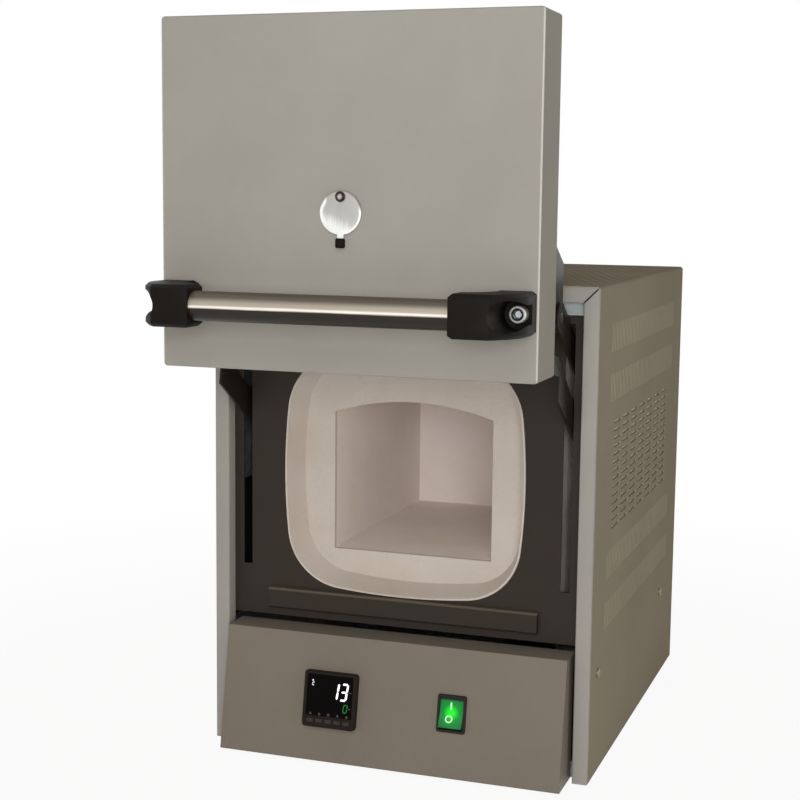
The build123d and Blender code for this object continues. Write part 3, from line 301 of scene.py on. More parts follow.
SHEET_T, BEND_R = 1.2, 3.0
CASE_W, CASE_D, CASE_H = [(high - low) / MM for low, high in zip(case_low, case_high)]
SLOT_W, SLOT_PITCH, SLOT_START, PITCHES = 2.8, 6.3, 15.2, 60
BAND_Z, BAND_H, BAND_PITCHES = (130, 173, 325, 367), 24, range(6, 54)
FIELD_Z0, ROWS, ROW_PITCH, ROW_H, FIELD_PITCHES = 202, 14, 7, 2.6, range(9, 51)
DASH_EVERY, DASH_PITCHES = 6, 4  # a level slot starts every 6 pitches and spans 4 of them
TOP_CELL, TOP_CELLS, TOP_PITCHES = 4.5, 72, range(0, 60, 2)
RIM_BEND = 3.0  # from the front to where the sides end and the rims start
NEAR = 0.1  # how close to a plane counts as on it


def start(kind, name, place, turn=(0, 0, 0), scale=(1, 1, 1), **values):
    """Adds a primitive at its place and size, and opens it in edit mode."""
    if bpy.context.mode != "OBJECT":
        bpy.ops.object.mode_set(mode="OBJECT")
    clear_selection()
    getattr(bpy.ops.mesh, f"primitive_{kind}_add")(location=place, rotation=turn, **values)
    piece = bpy.context.object
    piece.name = piece.data.name = name
    piece.scale = scale
    bpy.ops.object.transform_apply(location=True, rotation=True, scale=True)
    bpy.ops.object.mode_set(mode="EDIT")
    return piece


def pick(kind, test):
    """Selects the open piece's vertices, edges or faces whose middle and normal pass a test."""
    bpy.ops.mesh.select_mode(type=kind)
    bpy.ops.mesh.select_all(action="DESELECT")
    mesh = bmesh.from_edit_mesh(bpy.context.object.data)
    if kind == "VERT":
        chosen = [v for v in mesh.verts if test(v.co)]
    elif kind == "EDGE":
        chosen = [e for e in mesh.edges if test((e.verts[0].co + e.verts[1].co) / 2)]
    else:
        chosen = [f for f in mesh.faces if test(f.calc_center_median(), f.normal)]
    for part in chosen:
        part.select_set(True)
    mesh.select_flush_mode()
    bmesh.update_edit_mesh(bpy.context.object.data)
    return len(chosen)


def pick_all():
    bpy.ops.mesh.select_all(action="SELECT")


def pull(step):
    """Extrudes what is selected by a step."""
    bpy.ops.mesh.extrude_region_move(TRANSFORM_OT_translate={"value": step})


def face_out(wrong):
    """Makes the open piece's normals agree, and turns them over if a face then passes the test."""
    pick_all()
    bpy.ops.mesh.normals_make_consistent(inside=False)
    if pick("FACE", wrong):
        pick_all()
        bpy.ops.mesh.flip_normals()


def shape_with(piece, kind, **settings):
    """Adds a modifier and applies it."""
    if bpy.context.mode != "OBJECT":
        bpy.ops.object.mode_set(mode="OBJECT")
    bpy.context.view_layer.objects.active = piece
    modifier = piece.modifiers.new(kind.lower(), kind)
    for name, setting in settings.items():
        setattr(modifier, name, setting)
    bpy.ops.object.modifier_apply(modifier=modifier.name)


def close_up(piece, finish, body, slot, *stands_for, smooth=None):
    """Leaves edit mode, gives the piece its finish and its body, and hides the nodes it stands for. The slot
    is not used.
    """
    if bpy.context.mode != "OBJECT":
        bpy.ops.object.mode_set(mode="OBJECT")
    if smooth is not None:
        clear_selection()
        piece.select_set(True)
        bpy.context.view_layer.objects.active = piece
        bpy.ops.object.shade_smooth_by_angle(angle=math.radians(smooth))
    piece.data.materials.clear()
    piece.data.materials.append(finish.material)
    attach(piece, body)
    if stands_for:
        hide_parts(*stands_for)
    clear_selection()
    return piece


def powder_coat(name, tone, roughness=0.46, peel=0.00016, specular=0.18):
    """Baked powder coat: faint clouds in the colour and a fine pebbled skin."""
    paint = Finish(name, None, roughness, specular=specular)
    clouds = paint.fade(paint.noise(7, 4, 0.6), 0.3, 0.7)
    base = paint.blend(clouds, colour(*[c * 0.975 for c in tone]), colour(*[c * 1.025 for c in tone]))
    specks = paint.fade(paint.noise(1900, 1), 0.60, 0.78)
    base = paint.blend(specks * 0.16, base, colour(*[c * 1.2 for c in tone]))
    paint.feed("Base Color", base)
    pebbles = paint.noise(950, 2, 0.45)
    paint.feed("Roughness", pebbles * 0.16 + (roughness - 0.08))
    paint.bump(pebbles + paint.noise(90, 2) * 0.5, peel, 0.6)
    return paint


# The sides' copy of the coat is warmer than the rims': painted shade on the sides.
case_paint = powder_coat("case_powder_coat", (166, 158, 141), specular=0.0)

case_sheet = start("plane", "case_sheet", at(0, SLOT_START, CASE_H / 2), (math.pi / 2, 0, 0),
                   (CASE_W * MM, CASE_H * MM, 1), size=1)
pick("VERT", lambda spot: spot.z > case_high.z - MM)
bpy.ops.mesh.bevel(offset=BEND_R * MM, segments=4, affect="VERTICES")
pick_all()
bpy.ops.mesh.delete(type="ONLY_FACE")
pick("EDGE", lambda spot: spot.z < case_low.z + MM)
bpy.ops.mesh.delete(type="EDGE")
pick_all()
pull((0, SLOT_W * MM, 0))
pull((0, (SLOT_PITCH - SLOT_W) * MM, 0))
heights = [z + side * BAND_H / 2 for z in BAND_Z for side in (-1, 1)]
heights += [FIELD_Z0 + ROW_PITCH * row + edge for row in range(ROWS) for edge in (0, ROW_H)]
widths = [TOP_CELL * (cell - TOP_CELLS / 2) for cell in range(TOP_CELLS + 1)]
cuts = [(at(0, 0, z), (0, 0, 1)) for z in heights] + [(at(x, 0, 0), (1, 0, 0)) for x in widths]
for cut, normal in cuts:
    pick_all()
    bpy.ops.mesh.bisect(plane_co=cut, plane_no=normal)
shape_with(case_sheet, "ARRAY", count=PITCHES, use_relative_offset=False, use_constant_offset=True,
           constant_offset_displace=(0, SLOT_PITCH * MM, 0), use_merge_vertices=True,
           merge_threshold=2 * NEAR * MM)
bpy.ops.object.mode_set(mode="EDIT")
first, last = at(0, SLOT_START, 0).y, at(0, SLOT_START + PITCHES * SLOT_PITCH, 0).y
pick("EDGE", lambda spot: spot.y < first + NEAR * MM)
pull((0, (RIM_BEND - SLOT_START) * MM, 0))
pick("EDGE", lambda spot: spot.y > last - NEAR * MM)
pull((0, case_high.y - last, 0))


def in_slot(spot, normal):
    """Whether a face of the sheet is punched out."""
    x, y, z = spot.x / MM, (spot.y - first) / MM, (spot.z - case_low.z) / MM
    pitch = math.floor(y / SLOT_PITCH)
    line = y - pitch * SLOT_PITCH < SLOT_W
    if z > CASE_H - NEAR:
        cell = math.floor(x / TOP_CELL + TOP_CELLS / 2)
        return line and pitch in TOP_PITCHES and 0 <= cell < TOP_CELLS and (cell + pitch // 2) % 2 == 0
    row = (z - FIELD_Z0) / ROW_PITCH
    if 0 <= row < ROWS and (row % 1) * ROW_PITCH < ROW_H:
        step = (pitch - FIELD_PITCHES[0]) % DASH_EVERY
        return pitch in FIELD_PITCHES and (step < DASH_PITCHES or step == DASH_PITCHES and line)
    return line and pitch in BAND_PITCHES and any(abs(z - middle) < BAND_H / 2 for middle in BAND_Z)


pick("FACE", in_slot)
bpy.ops.mesh.delete(type="FACE")
face_out(lambda spot, normal: normal.z < -0.9)
shape_with(case_sheet, "SOLIDIFY", thickness=SHEET_T * MM, offset=-1, use_even_offset=True)
close_up(case_sheet, case_paint, "case", "case_paint", "outer_case", smooth=30)


# ---- Rims of the case ----
# The sheet's front edges are folded in to a 13 mm flange and folded again towards the dark panel.
# The flanges meet at the two top corners in open mitres.

RIM_W, MITRE_GAP, RIM_R = 13.0, 1.2, 1.6
RIM_IN, RIM_TOP = CASE_W / 2 - RIM_W, CASE_H - RIM_W
# The rims are folded from the same sheet as the sides but take a greyer copy of its coat: the difference is
# painted light between the front flanges and the shaded sides.
rim_paint = powder_coat("rim_powder_coat", (163, 160, 154))


def folded_rim(name):
    """Flange and return with small bends, upright at the right side."""
    strip = start("plane", name, at(CASE_W / 2 - RIM_W / 2, RIM_W / 2, 0), (0, 0, 0),
                  (RIM_W * MM, RIM_W * MM, 1), size=1)
    front, back = at(0, 1, 0).y, at(0, RIM_W - 1, 0).y
    pick("VERT", lambda spot: spot.y < front)
    bpy.ops.mesh.bevel(offset=RIM_R * MM, segments=3, affect="VERTICES")
    pick_all()
    bpy.ops.mesh.delete(type="ONLY_FACE")
    pick("EDGE", lambda spot: spot.y > back)
    bpy.ops.mesh.delete(type="EDGE")
    pick("VERT", lambda spot: spot.y > back and spot.x > (RIM_IN + 2) * MM)
    bpy.ops.transform.translate(value=(0, (RIM_BEND - RIM_W) * MM, 0))
    pick_all()
    pull((0, 0, CASE_H * MM))
    return strip


def mitre(strip, *clear_of_bezel_shade):
    """Cuts the strip along each corner's diagonal, trims the corner and gives the sheet its thickness."""
    for side, keep in clear_of_bezel_shade:
        gap = keep * MITRE_GAP / 2 / math.sqrt(2)
        corner = CASE_W / 2 - BEND_R * (1 - math.sqrt(0.5))
        cuts = [(at(side * (RIM_IN + gap), 0, RIM_TOP - gap), (-side * keep, 0, keep)),
                (at(side * corner, 0, corner + CASE_H - CASE_W / 2), (side, 0, 1))]
        for place, normal in cuts:
            pick_all()
            bpy.ops.mesh.bisect(plane_co=place, plane_no=normal, clear_outer=True)
    face_out(lambda spot, normal: normal.y > 0.9)
    shape_with(strip, "SOLIDIFY", thickness=SHEET_T * MM, offset=-1, use_even_offset=True)


def mirrored(piece, name):
    """The same piece for the left side, with its own mesh."""
    twin = piece.copy()
    twin.data = piece.data.copy()
    twin.name = twin.data.name = name
    bpy.context.scene.collection.objects.link(twin)
    twin.data.transform(Matrix.Scale(-1, 4, (1, 0, 0)))
    twin.data.flip_normals()
    return twin


right_rim = folded_rim("case_rim_right")
mitre(right_rim, (1, 1))
left_rim = mirrored(right_rim, "case_rim_left")
top_rim = folded_rim("case_rim_top")
bpy.ops.object.mode_set(mode="OBJECT")
upright, level_place = at(0, 0, CASE_H / 2), at(0, 0, CASE_H - CASE_W / 2)
top_rim.data.transform(Matrix.Translation(level_place) @ Matrix.Rotation(-math.pi / 2, 4, "Y")
                       @ Matrix.Translation(-upright))
bpy.ops.object.mode_set(mode="EDIT")
mitre(top_rim, (1, -1), (-1, -1))
for strip in (right_rim, left_rim, top_rim):
    close_up(strip, rim_paint, "case", "case_paint", "outer_case", smooth=35)


# ---- Vent backing sheets ----
# A pale galvanised sheet stands inside each side of the case, its upper and lower edges turned out to
# the wall, so the chamber isn't seen through the vents. Its pale tone behind the vents is painted
# light, and its inner side is painted dark as shade.

SHIELD_X, SHIELD_Y, SHIELD_Z, SHIELD_T = 166.2, (22, 384), (104, 394), 0.8
SHIELD_D, SHIELD_H = SHIELD_Y[1] - SHIELD_Y[0], SHIELD_Z[1] - SHIELD_Z[0]

shield_coat = Finish("shield_sheet", None, 0.5, 0.3)
# Painted light: the sheet is pale so the vents in front of it read light.
shield_coat.mottle(60, (228, 220, 204), (242, 235, 220))
across, _, _ = shield_coat.axes()
# Painted shade: the sheet's inner side is dark.
shield_coat.tint(shield_coat.fade(abs(across), (SHIELD_X + 0.5) * MM, (SHIELD_X + 0.3) * MM), (52, 48, 44))
shield_coat.wear(30, 0.45, 0.2)
right_shield = start("plane", "vent_backing_right", at(SHIELD_X, sum(SHIELD_Y) / 2, sum(SHIELD_Z) / 2),
                     (0, math.pi / 2, 0), (SHIELD_H * MM, SHIELD_D * MM, 1), size=1)
lower, upper = at(0, 0, SHIELD_Z[0] + 1).z, at(0, 0, SHIELD_Z[1] - 1).z
pick("EDGE", lambda spot: not lower < spot.z < upper)
pull(((CASE_W / 2 - SHEET_T - SHIELD_X) * MM, 0, 0))
face_out(lambda spot, normal: normal.x < -0.9)
shape_with(right_shield, "SOLIDIFY", thickness=SHIELD_T * MM, offset=1, use_even_offset=True)
left_shield = mirrored(right_shield, "vent_backing_left")
for shield in (right_shield, left_shield):
    close_up(shield, shield_coat, "case", "galvanised", smooth=30)


# ---- Rear cover, tray and feet ----
# The rear cover has the case's coat. The tray under the chamber is left galvanised, with faint
# spangles, and stands on four rubber feet.

dress(case_paint, "rear_cover")

zinc = Finish("galvanised_sheet", None, 0.38, 0.9)
flakes = zinc.add("ShaderNodeTexVoronoi", None, {"Vector": zinc.place(), "Scale": 140})
shade = Value(zinc, zinc.add("ShaderNodeSeparateColor", None, [flakes.outputs["Color"]]).outputs[0])
zinc.feed("Base Color", zinc.blend(shade * 0.6, colour(150, 153, 156), colour(186, 188, 190)))
zinc.feed("Roughness", shade * 0.18 + 0.30)
dress(zinc, "base_pan", "insulation_shelf", "pivot_frame_right", "pivot_frame_left")

rubber = Finish("foot_rubber", None, 0.8, specular=0.2)
rubber.mottle(200, (24, 24, 24), (34, 34, 34))
rubber.bump(rubber.noise(900, 2), 0.0002, 0.5)
dress(rubber, "feet")


# ---- Case screws ----
# Pan-head machine screws of blackened steel with a cross recess, two in each side and six in the
# rear cover. One head is modelled and the others are copies of it.

HEAD_R, HEAD_H, HEAD_EASE, HEAD_SUNK = 3.8, 2.2, 1.1, 0.4
CROSS_L, CROSS_W, CROSS_CUT, CROSS_TAPER = 4.4, 1.1, 2.0, 0.7
CROSS_TURN = 0.3  # radians; no two crosses stand alike
SIDE_SCREW_Y, SIDE_SCREW_Z = (29, 320), 88
REAR_SCREW_X, REAR_SCREW_Z = 149.8, (36, 206, 376)

screw = Finish("screw_steel", None, 0.3, 0.7)
screw.mottle(300, (104, 94, 76), (146, 134, 112), 2)
screw.wear(700, 0.26, 0.2)

pan_head = start("cylinder", "pan_head", (0, 0, (HEAD_H - HEAD_SUNK) / 2 * MM), vertices=32,
                 radius=HEAD_R * MM, depth=(HEAD_H + HEAD_SUNK) * MM)
pick("FACE", lambda spot, normal: normal.z > 0.9)
bpy.ops.mesh.bevel(offset=HEAD_EASE * MM, segments=5, affect="EDGES")
for width, length in ((CROSS_W, CROSS_L), (CROSS_L, CROSS_W)):
    cutter = start("cube", "cross_cutter", (0, 0, HEAD_H * MM), (0, 0, 0),
                   (width * MM, length * MM, CROSS_CUT * MM), size=1)
    pick("FACE", lambda spot, normal: normal.z < -0.9)
    bpy.ops.transform.resize(value=(CROSS_TAPER, CROSS_TAPER, 1))
    bpy.ops.object.mode_set(mode="OBJECT")
    shape_with(pan_head, "BOOLEAN", operation="DIFFERENCE", object=cutter, solver="EXACT")
    bpy.data.objects.remove(cutter)


def screw_heads(name, node, places, towards):
    """Copies of the pan head at their places, as one piece."""
    clear_selection()
    heads = []
    for number, place in enumerate(places):
        head = pan_head.copy()
        head.data = pan_head.data.copy()
        bpy.context.scene.collection.objects.link(head)
        facing = towards(place).to_track_quat("Z", "Y").to_matrix().to_4x4()
        head.data.transform(Matrix.Translation(place) @ facing
                            @ Matrix.Rotation(CROSS_TURN * (2 * number + 1), 4, "Z"))
        head.select_set(True)
        heads.append(head)
    bpy.context.view_layer.objects.active = heads[0]
    bpy.ops.object.join()
    heads[0].name = heads[0].data.name = name
    close_up(heads[0], screw, "case", "screw_steel", node, smooth=40)


screw_heads("side_screw_heads", "side_screws",
            [at(side * CASE_W / 2, y, SIDE_SCREW_Z) for side in (-1, 1) for y in SIDE_SCREW_Y],
            lambda place: Vector((place.x, 0, 0)))
screw_heads("rear_screw_heads", "rear_screws",
            [at(side * REAR_SCREW_X, CASE_D, z) for side in (-1, 1) for z in REAR_SCREW_Z],
            lambda place: Vector((0, 1, 0)))
bpy.data.objects.remove(pan_head)


# ---- Front panel, sill and lintel ----
# The dark panel behind the rim is coated nearly black-brown, smoother than the case. The sill under
# the seat has a painted highlight along its upper edge. The light lintel strip closes the gap over the
# panel.

dark_paint = powder_coat("front_panel_dark_coat", (50, 43, 37), 0.42, 0.0001, 0.16)
dress(dark_paint, "front_panel")
sill_paint = powder_coat("sill_dark_coat", (50, 43, 37), 0.42, 0.0001, 0.16)
_, _, rise = sill_paint.axes()
upper_edge_highlight = sill_paint.fade(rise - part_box("sill_step")[1].z, -2.0 * MM, -0.8 * MM)
# Painted highlight: a lighter band along the sill's upper edge.
sill_paint.tint(upper_edge_highlight * 0.8, (104, 96, 84))
dress(sill_paint, "sill_step")
trim_paint = powder_coat("trim_powder_coat", (178, 186, 186))
dress(trim_paint, "lintel_strip")


# ---- Collar, chamber and door plug ----
# White ceramic fibre, vacuum-formed in a mould: a chalky skin with fine pits and faint warm stains
# near the heat, and no gloss at all.

def ceramic(name, tone, stain=(12, 18, 28)):
    fibre = Finish(name, None, 0.95, specular=0.1)
    stains = fibre.fade(fibre.noise(14, 5, 0.6), 0.42, 0.75)
    base = fibre.blend(stains * 0.5, colour(*tone), colour(*[c - s for c, s in zip(tone, stain)]))
    pits = fibre.fade(fibre.noise(700, 3, 0.6), 0.60, 0.72)
    base = fibre.blend(pits * 0.3, base, colour(*[c * 0.82 for c in tone]))
    fibre.feed("Base Color", base)
    fibre.bump(fibre.noise(320, 5, 0.65) - pits * 0.5, 0.0006, 0.6)
    return fibre


collar_fibre = ceramic("collar_fibre", (212, 203, 195))
dress(collar_fibre, "muffle_collar", "door_plug")
# The chamber's fibre is a lighter tone than the collar's: painted light for its dim inside.
chamber_fibre = ceramic("chamber_fibre", (244, 234, 228))
dress(chamber_fibre, "muffle_chamber")


# ---- Insulation, heaters, sensor and flue ----
# Fibre boards are packed round the chamber. Resistance ribbon runs along its sides, and a ceramic
# probe and flue pass through the rear wall.

board = ceramic("fibre_board", (232, 228, 220))
dress(board, "insulation_bottom", "insulation_top", "insulation_right", "insulation_left", "insulation_rear",
      "door_insulation")

heater = Finish("heater_ribbon", None, 0.6, 0.8)
heater.mottle(260, (78, 70, 66), (112, 104, 98))
heater.wear(90, 0.45, 0.3)
dress(heater, "heating_element_right", "heating_element_left")

porcelain = Finish("fired_ceramic", None, 0.35)
porcelain.mottle(60, (212, 204, 190), (228, 222, 210))
porcelain.wear(200, 0.3, 0.2)
dress(porcelain, "thermocouple", "flue_tube", "peephole_tube")


# ---- Relay, terminals and gland ----
# Bought-in parts of moulded plastic on the tray and in the rear cover.

relay = Finish("relay_plastic", None, 0.4)
relay.mottle(80, (28, 28, 30), (38, 38, 40))
relay.bump(relay.noise(1200, 2), 0.0001, 0.4)
dress(relay, "power_relay", "cable_gland")
terminals = Finish("terminal_plastic", None, 0.5)
terminals.mottle(120, (205, 200, 184), (218, 213, 198))
terminals.bump(terminals.noise(900, 2), 0.0001, 0.4)
dress(terminals, "terminal_block")


# ---- Control panel ----
# A sloped box of 1.5 mm steel under the door, coated like the case but a shade browner. Its folded
# ledge on top catches the light.

FASCIA_FOOT_Y, FASCIA_RUN, FASCIA_RISE = -27.8, 19.2, 107.0
FASCIA_LEAN = math.atan2(FASCIA_RUN, FASCIA_RISE)

fascia_paint = powder_coat("fascia_powder_coat", (127, 118, 107), 0.48)
dress(fascia_paint, "control_panel")


def on_fascia(x, u, n=0.0, lean=0.0):
    """Matrix from a flat drawing in metres to the sloped face: x across, u up the slope, n outwards."""
    y = FASCIA_FOOT_Y + u * math.sin(FASCIA_LEAN) - n * math.cos(FASCIA_LEAN)
    z = u * math.cos(FASCIA_LEAN) + n * math.sin(FASCIA_LEAN)
    return Matrix.Translation(at(x, y, z)) @ Matrix.Rotation(math.pi / 2 - FASCIA_LEAN - lean, 4, "X")


# ---- Controller ----
# A 48 mm panel controller of black moulded plastic: a smoked window over white and green
# seven-segment figures, and five grey keys in a row under it.

CONTROLLER_X, CONTROLLER_U, LENS_N = -51.0, 54.0, 6.0
FIGURE_SLANT, STROKE_T, STROKE_POINT, STROKE_GAP = math.radians(7), 0.12, 0.42, 0.3
VALUE = [  # bars, half width, half height, bar width, and the place on the window: "13" and its unit
    ("bc", 0.0, 6.8, 1.7, 7.5, 8.0), ("abcdg", 2.5, 6.8, 1.7, 13.2, 8.0),
    ("abfg", 0.6, 0.7, 0.5, -15.9, 15.4), ("afed", 0.8, 1.2, 0.6, -15.2, 12.8)]
SETPOINT = ("abcdef", 1.6, 3.2, 0.9, 15.0, -5.8)
KEYS, LEGEND_X, LEGEND_PITCH, LEGEND_U, LEGEND_R, LEGEND_W = 5, -16.4, 8.3, -12.6, 1.3, 0.45
TICK_X, TICK_U, TICK_L, TICK_W = 18.9, (8.0, -5.6), 1.8, 0.8

moulded = Finish("controller_plastic", None, 0.5, specular=0.12)
moulded.mottle(50, (22, 16, 11), (31, 24, 18))
moulded.bump(moulded.noise(1600, 2), 0.0001, 0.4)
dress(moulded, "controller_body")

window = Finish("controller_window", None, 0.14, specular=0.04)
window.mottle(30, (5, 3, 3), (10, 6, 5), 2)
dress(window, "controller_lens")

keys = Finish("key_plastic", None, 0.5, specular=0.2)
keys.mottle(500, (44, 37, 31), (58, 50, 43), 2)
dress(keys, *[f"controller_key_{number + 1}" for number in range(KEYS)])


def lit(name, tone, glow, strength=1.0):
    """Plastic that shines by itself, a little unevenly."""
    finish = Finish(name, colour(*tone), 0.4, specular=0.1)
    weaker = colour(*[c * 0.9 for c in glow])
    finish.feed("Emission Color", finish.blend(finish.noise(900, 2) * 0.5, colour(*glow), weaker))
    finish.surface.inputs["Emission Strength"].default_value = strength
    return finish


def joined(pieces, name):
    """Several pieces made one."""
    clear_selection()
    for piece in pieces:
        piece.select_set(True)
    bpy.context.view_layer.objects.active = pieces[0]
    bpy.ops.object.join()
    pieces[0].name = pieces[0].data.name = name
    return pieces[0]


def stroke(x, y, length, width, upright):
    """One bar of a figure with pointed ends, drawn flat in millimetres about the figure's middle."""
    size = (width, length) if upright else (length, width)
    bar = start("plane", "stroke", (x * MM, y * MM, 0), (0, 0, 0), (size[0] * MM, size[1] * MM, 1), size=1)
    pick_all()
    bpy.ops.mesh.bevel(offset=STROKE_POINT * width * MM, segments=1, affect="VERTICES")
    pick_all()
    pull((0, 0, STROKE_T * MM))
    pick_all()
    bpy.ops.mesh.normals_make_consistent(inside=False)
    bpy.ops.object.mode_set(mode="OBJECT")
    return bar


def outline(name, corners, radius, width):
    """A flat ring with straight sides, or round where it has many corners."""
    ring = start("circle", name, (0, 0, 0), vertices=corners, radius=radius * MM, fill_type="NGON")
    pick_all()
    bpy.ops.mesh.inset(thickness=width * MM)
    bpy.ops.mesh.delete(type="FACE")
    shape_with(ring, "SOLIDIFY", thickness=STROKE_T * MM, offset=1)
    return ring


def on_window(piece, x, u, slanted=True):
    """Moves a flat drawing to its place on the window."""
    slant = Matrix.Identity(4)
    slant[0][1] = math.tan(FIGURE_SLANT) if slanted else 0.0
    piece.data.transform(on_fascia(CONTROLLER_X + x, CONTROLLER_U + u, LENS_N) @ slant)
    return piece


def figure(name, bars, half_w, half_h, width, x, u):
    """A seven-segment figure on the window."""
    tall, wide = half_h - STROKE_GAP, 2 * half_w - STROKE_GAP
    bar_at = {"a": (0, half_h, wide), "g": (0, 0, wide), "d": (0, -half_h, wide),
              "b": (half_w, half_h / 2, tall), "c": (half_w, -half_h / 2, tall),
              "f": (-half_w, half_h / 2, tall), "e": (-half_w, -half_h / 2, tall)}
    return on_window(joined([stroke(*bar_at[bar], width, bar in "bcef") for bar in bars], name), x, u)


white_figures = lit("figures_white", (230, 232, 240), (240, 240, 250))
value = joined([figure("figure", *row) for row in VALUE], "display_figures")
close_up(value, white_figures, "case", "controller_window")

green_figures = lit("figures_green", (20, 60, 28), (36, 108, 46))
close_up(figure("display_setpoint", *SETPOINT), green_figures, "case", "controller_window")

marks = Finish("legend_print", None, 0.6, specular=0.1)
marks.mottle(900, (92, 84, 78), (112, 104, 98), 2)
legends = []
for number in range(KEYS):
    legend = outline("legend", 3 + number % 3, LEGEND_R, LEGEND_W)
    legends.append(on_window(legend, LEGEND_X + LEGEND_PITCH * number, LEGEND_U, False))
for u in TICK_U:
    legends.append(on_window(stroke(0, 0, TICK_L, TICK_W, False), TICK_X, u, False))
close_up(joined(legends, "display_legends"), marks, "case", "controller_window")


# ---- Switch ----
# A lit rocker switch: black bezel snapped into the panel and a clear green rocker, pressed in at
# the top, with the on and off marks moulded in white.

SWITCH_X, SWITCH_U = 57.0, 54.5
UPPER_FACE, LOWER_FACE = (6.6, 1.35, 0.5), (-4.3, 3.1, 19.5)  # up the slope, outwards, lean in degrees
SPOT_R, SPOT_FLAT = 16.0, 0.3
# Above and below its lit middle the rocker is painted dark, as painted shade under the bezel.
LIT_MIDDLE, LIT_END, DARK_END = -0.9, 10.2, 11.6  # heights from the spot; above and below it's dark

bezel = Finish("switch_black_plastic", None, 0.5, specular=0.2)
bezel.mottle(60, (22, 18, 14), (32, 26, 20))
bezel.bump(bezel.noise(1600, 2), 0.0001, 0.4)
dress(bezel, "switch_bezel")

green = Finish("lit_green_plastic", None, 0.3, specular=0.3)
centre = on_fascia(SWITCH_X, SWITCH_U + 1.0, 2.0) @ Vector((0, 0, 0))
across, depth, rise = green.axes(green.place(move=tuple(-centre)))
spread = (across * across + depth * depth * SPOT_FLAT + rise * rise) ** 0.5 / (SPOT_R * MM)
# The base colour is lighter round the lamp's spot: painted glow.
base_and_painted_glow = green.shades(spread, (0.0, (0, 180, 20)), (0.3, (0, 140, 42)), (1.0, (10, 92, 48)))
glow = green.shades(spread, (0.0, (40, 255, 30)), (0.20, (0, 225, 20)), (0.42, (0, 96, 26)),
                    (1.0, (0, 40, 20)))
# Painted shade under the bezel: base and glow both go dark above and below the lit middle.
clear_of_bezel_shade = green.fade(abs(rise - LIT_MIDDLE * MM), DARK_END * MM, LIT_END * MM)
green.feed("Base Color", green.blend(clear_of_bezel_shade, colour(0, 12, 6), base_and_painted_glow))
green.feed("Emission Color", green.blend(clear_of_bezel_shade, colour(0, 12, 6), glow))
green.surface.inputs["Emission Strength"].default_value = 0.75
dress(green, "switch_rocker")


def on_rocker(piece, x, face):
    """Moves a flat drawing to one of the rocker's two faces."""
    u, n, lean = face
    piece.data.transform(on_fascia(SWITCH_X + x, SWITCH_U + u, n, math.radians(lean)))
    return piece


on_mark = on_rocker(stroke(0, 0, 6.5, 1.4, True), -0.5, UPPER_FACE)
off_mark = on_rocker(outline("off_mark", 32, 3.3, 1.2), -1.5, LOWER_FACE)
white_marks = lit("switch_marks_white", (180, 232, 186), (190, 250, 195), 0.42)
close_up(joined([on_mark, off_mark], "switch_marks"), white_marks, "switch_rocker", "switch_green")


# ---- Door ----
# A folded pan of 1.2 mm steel with the same coat as the case but lighter. Its upright front edges
# are painted lighter, a painted highlight along their bends. A bare steel sheet closes it at the rear.

EDGE_NEAR, EDGE_FAR = 0.7, 1.5
door_low, door_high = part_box("door_shell")

door_paint = powder_coat("door_powder_coat", (165, 161, 154), specular=0.02)
across, depth, _ = door_paint.axes()
at_side = door_paint.fade(abs(across) - door_high.x, -EDGE_FAR * MM, -EDGE_NEAR * MM)
at_front = door_paint.fade(depth - door_low.y, EDGE_FAR * MM, EDGE_NEAR * MM)
# Painted highlight: a lighter band along the door's upright front edges.
door_paint.tint(at_side * at_front * 0.8, (222, 219, 212))
dress(door_paint, "door_shell")

plain = Finish("bare_steel_sheet", None, 0.4, 1.0)
plain.mottle(20, (150, 148, 145), (176, 174, 170), 4)
plain.feed("Roughness", plain.noise(1, 3, 0.5, plain.place((60, 60, 900))) * 0.25 + 0.3)
dress(plain, "door_back_plate")


# ---- Peephole cover ----
# A stainless disc, brushed upright, that hangs from a rivet over the peephole and swings aside by
# the black sleeve on its tab.

COVER_X, COVER_Z, COVER_R, RIVET_UP, RIVET_R = -2, 469.52, 16.5, 12, 4
SAME_POINT, SAME_PLANE, SHARP = 0.002, math.radians(0.5), math.radians(35)


def softened(node, width, finish, body, slot):
    """A copy of the CAD node with its sharp edges eased, which stands for the node."""
    clear_selection()
    piece = nodes[node].copy()
    piece.data = nodes[node].data.copy()
    piece.name = piece.data.name = f"{node}_eased"
    for key in list(piece.keys()):
        del piece[key]
    piece.parent = None
    bpy.context.scene.collection.objects.link(piece)
    piece.select_set(True)
    bpy.context.view_layer.objects.active = piece
    bpy.ops.object.mode_set(mode="EDIT")
    pick_all()
    bpy.ops.mesh.remove_doubles(threshold=SAME_POINT * MM)
    bpy.ops.mesh.dissolve_limited(angle_limit=SAME_PLANE)
    shape_with(piece, "BEVEL", width=width * MM, segments=3, limit_method="ANGLE", angle_limit=SHARP)
    return close_up(piece, finish, body, slot, node, smooth=40)



cover = Finish("peephole_cover_steel", None, 0.35, 0.35, specular=0.5)
middle = at(COVER_X, 0, COVER_Z)
across, _, rise = [way / (COVER_R * MM) for way in cover.axes(cover.place(move=(-middle.x, 0, -middle.z)))]
radius = (across * across + rise * rise) ** 0.5
grain = cover.noise(1, 3, 0.6, cover.place((2600, 60, 50)))
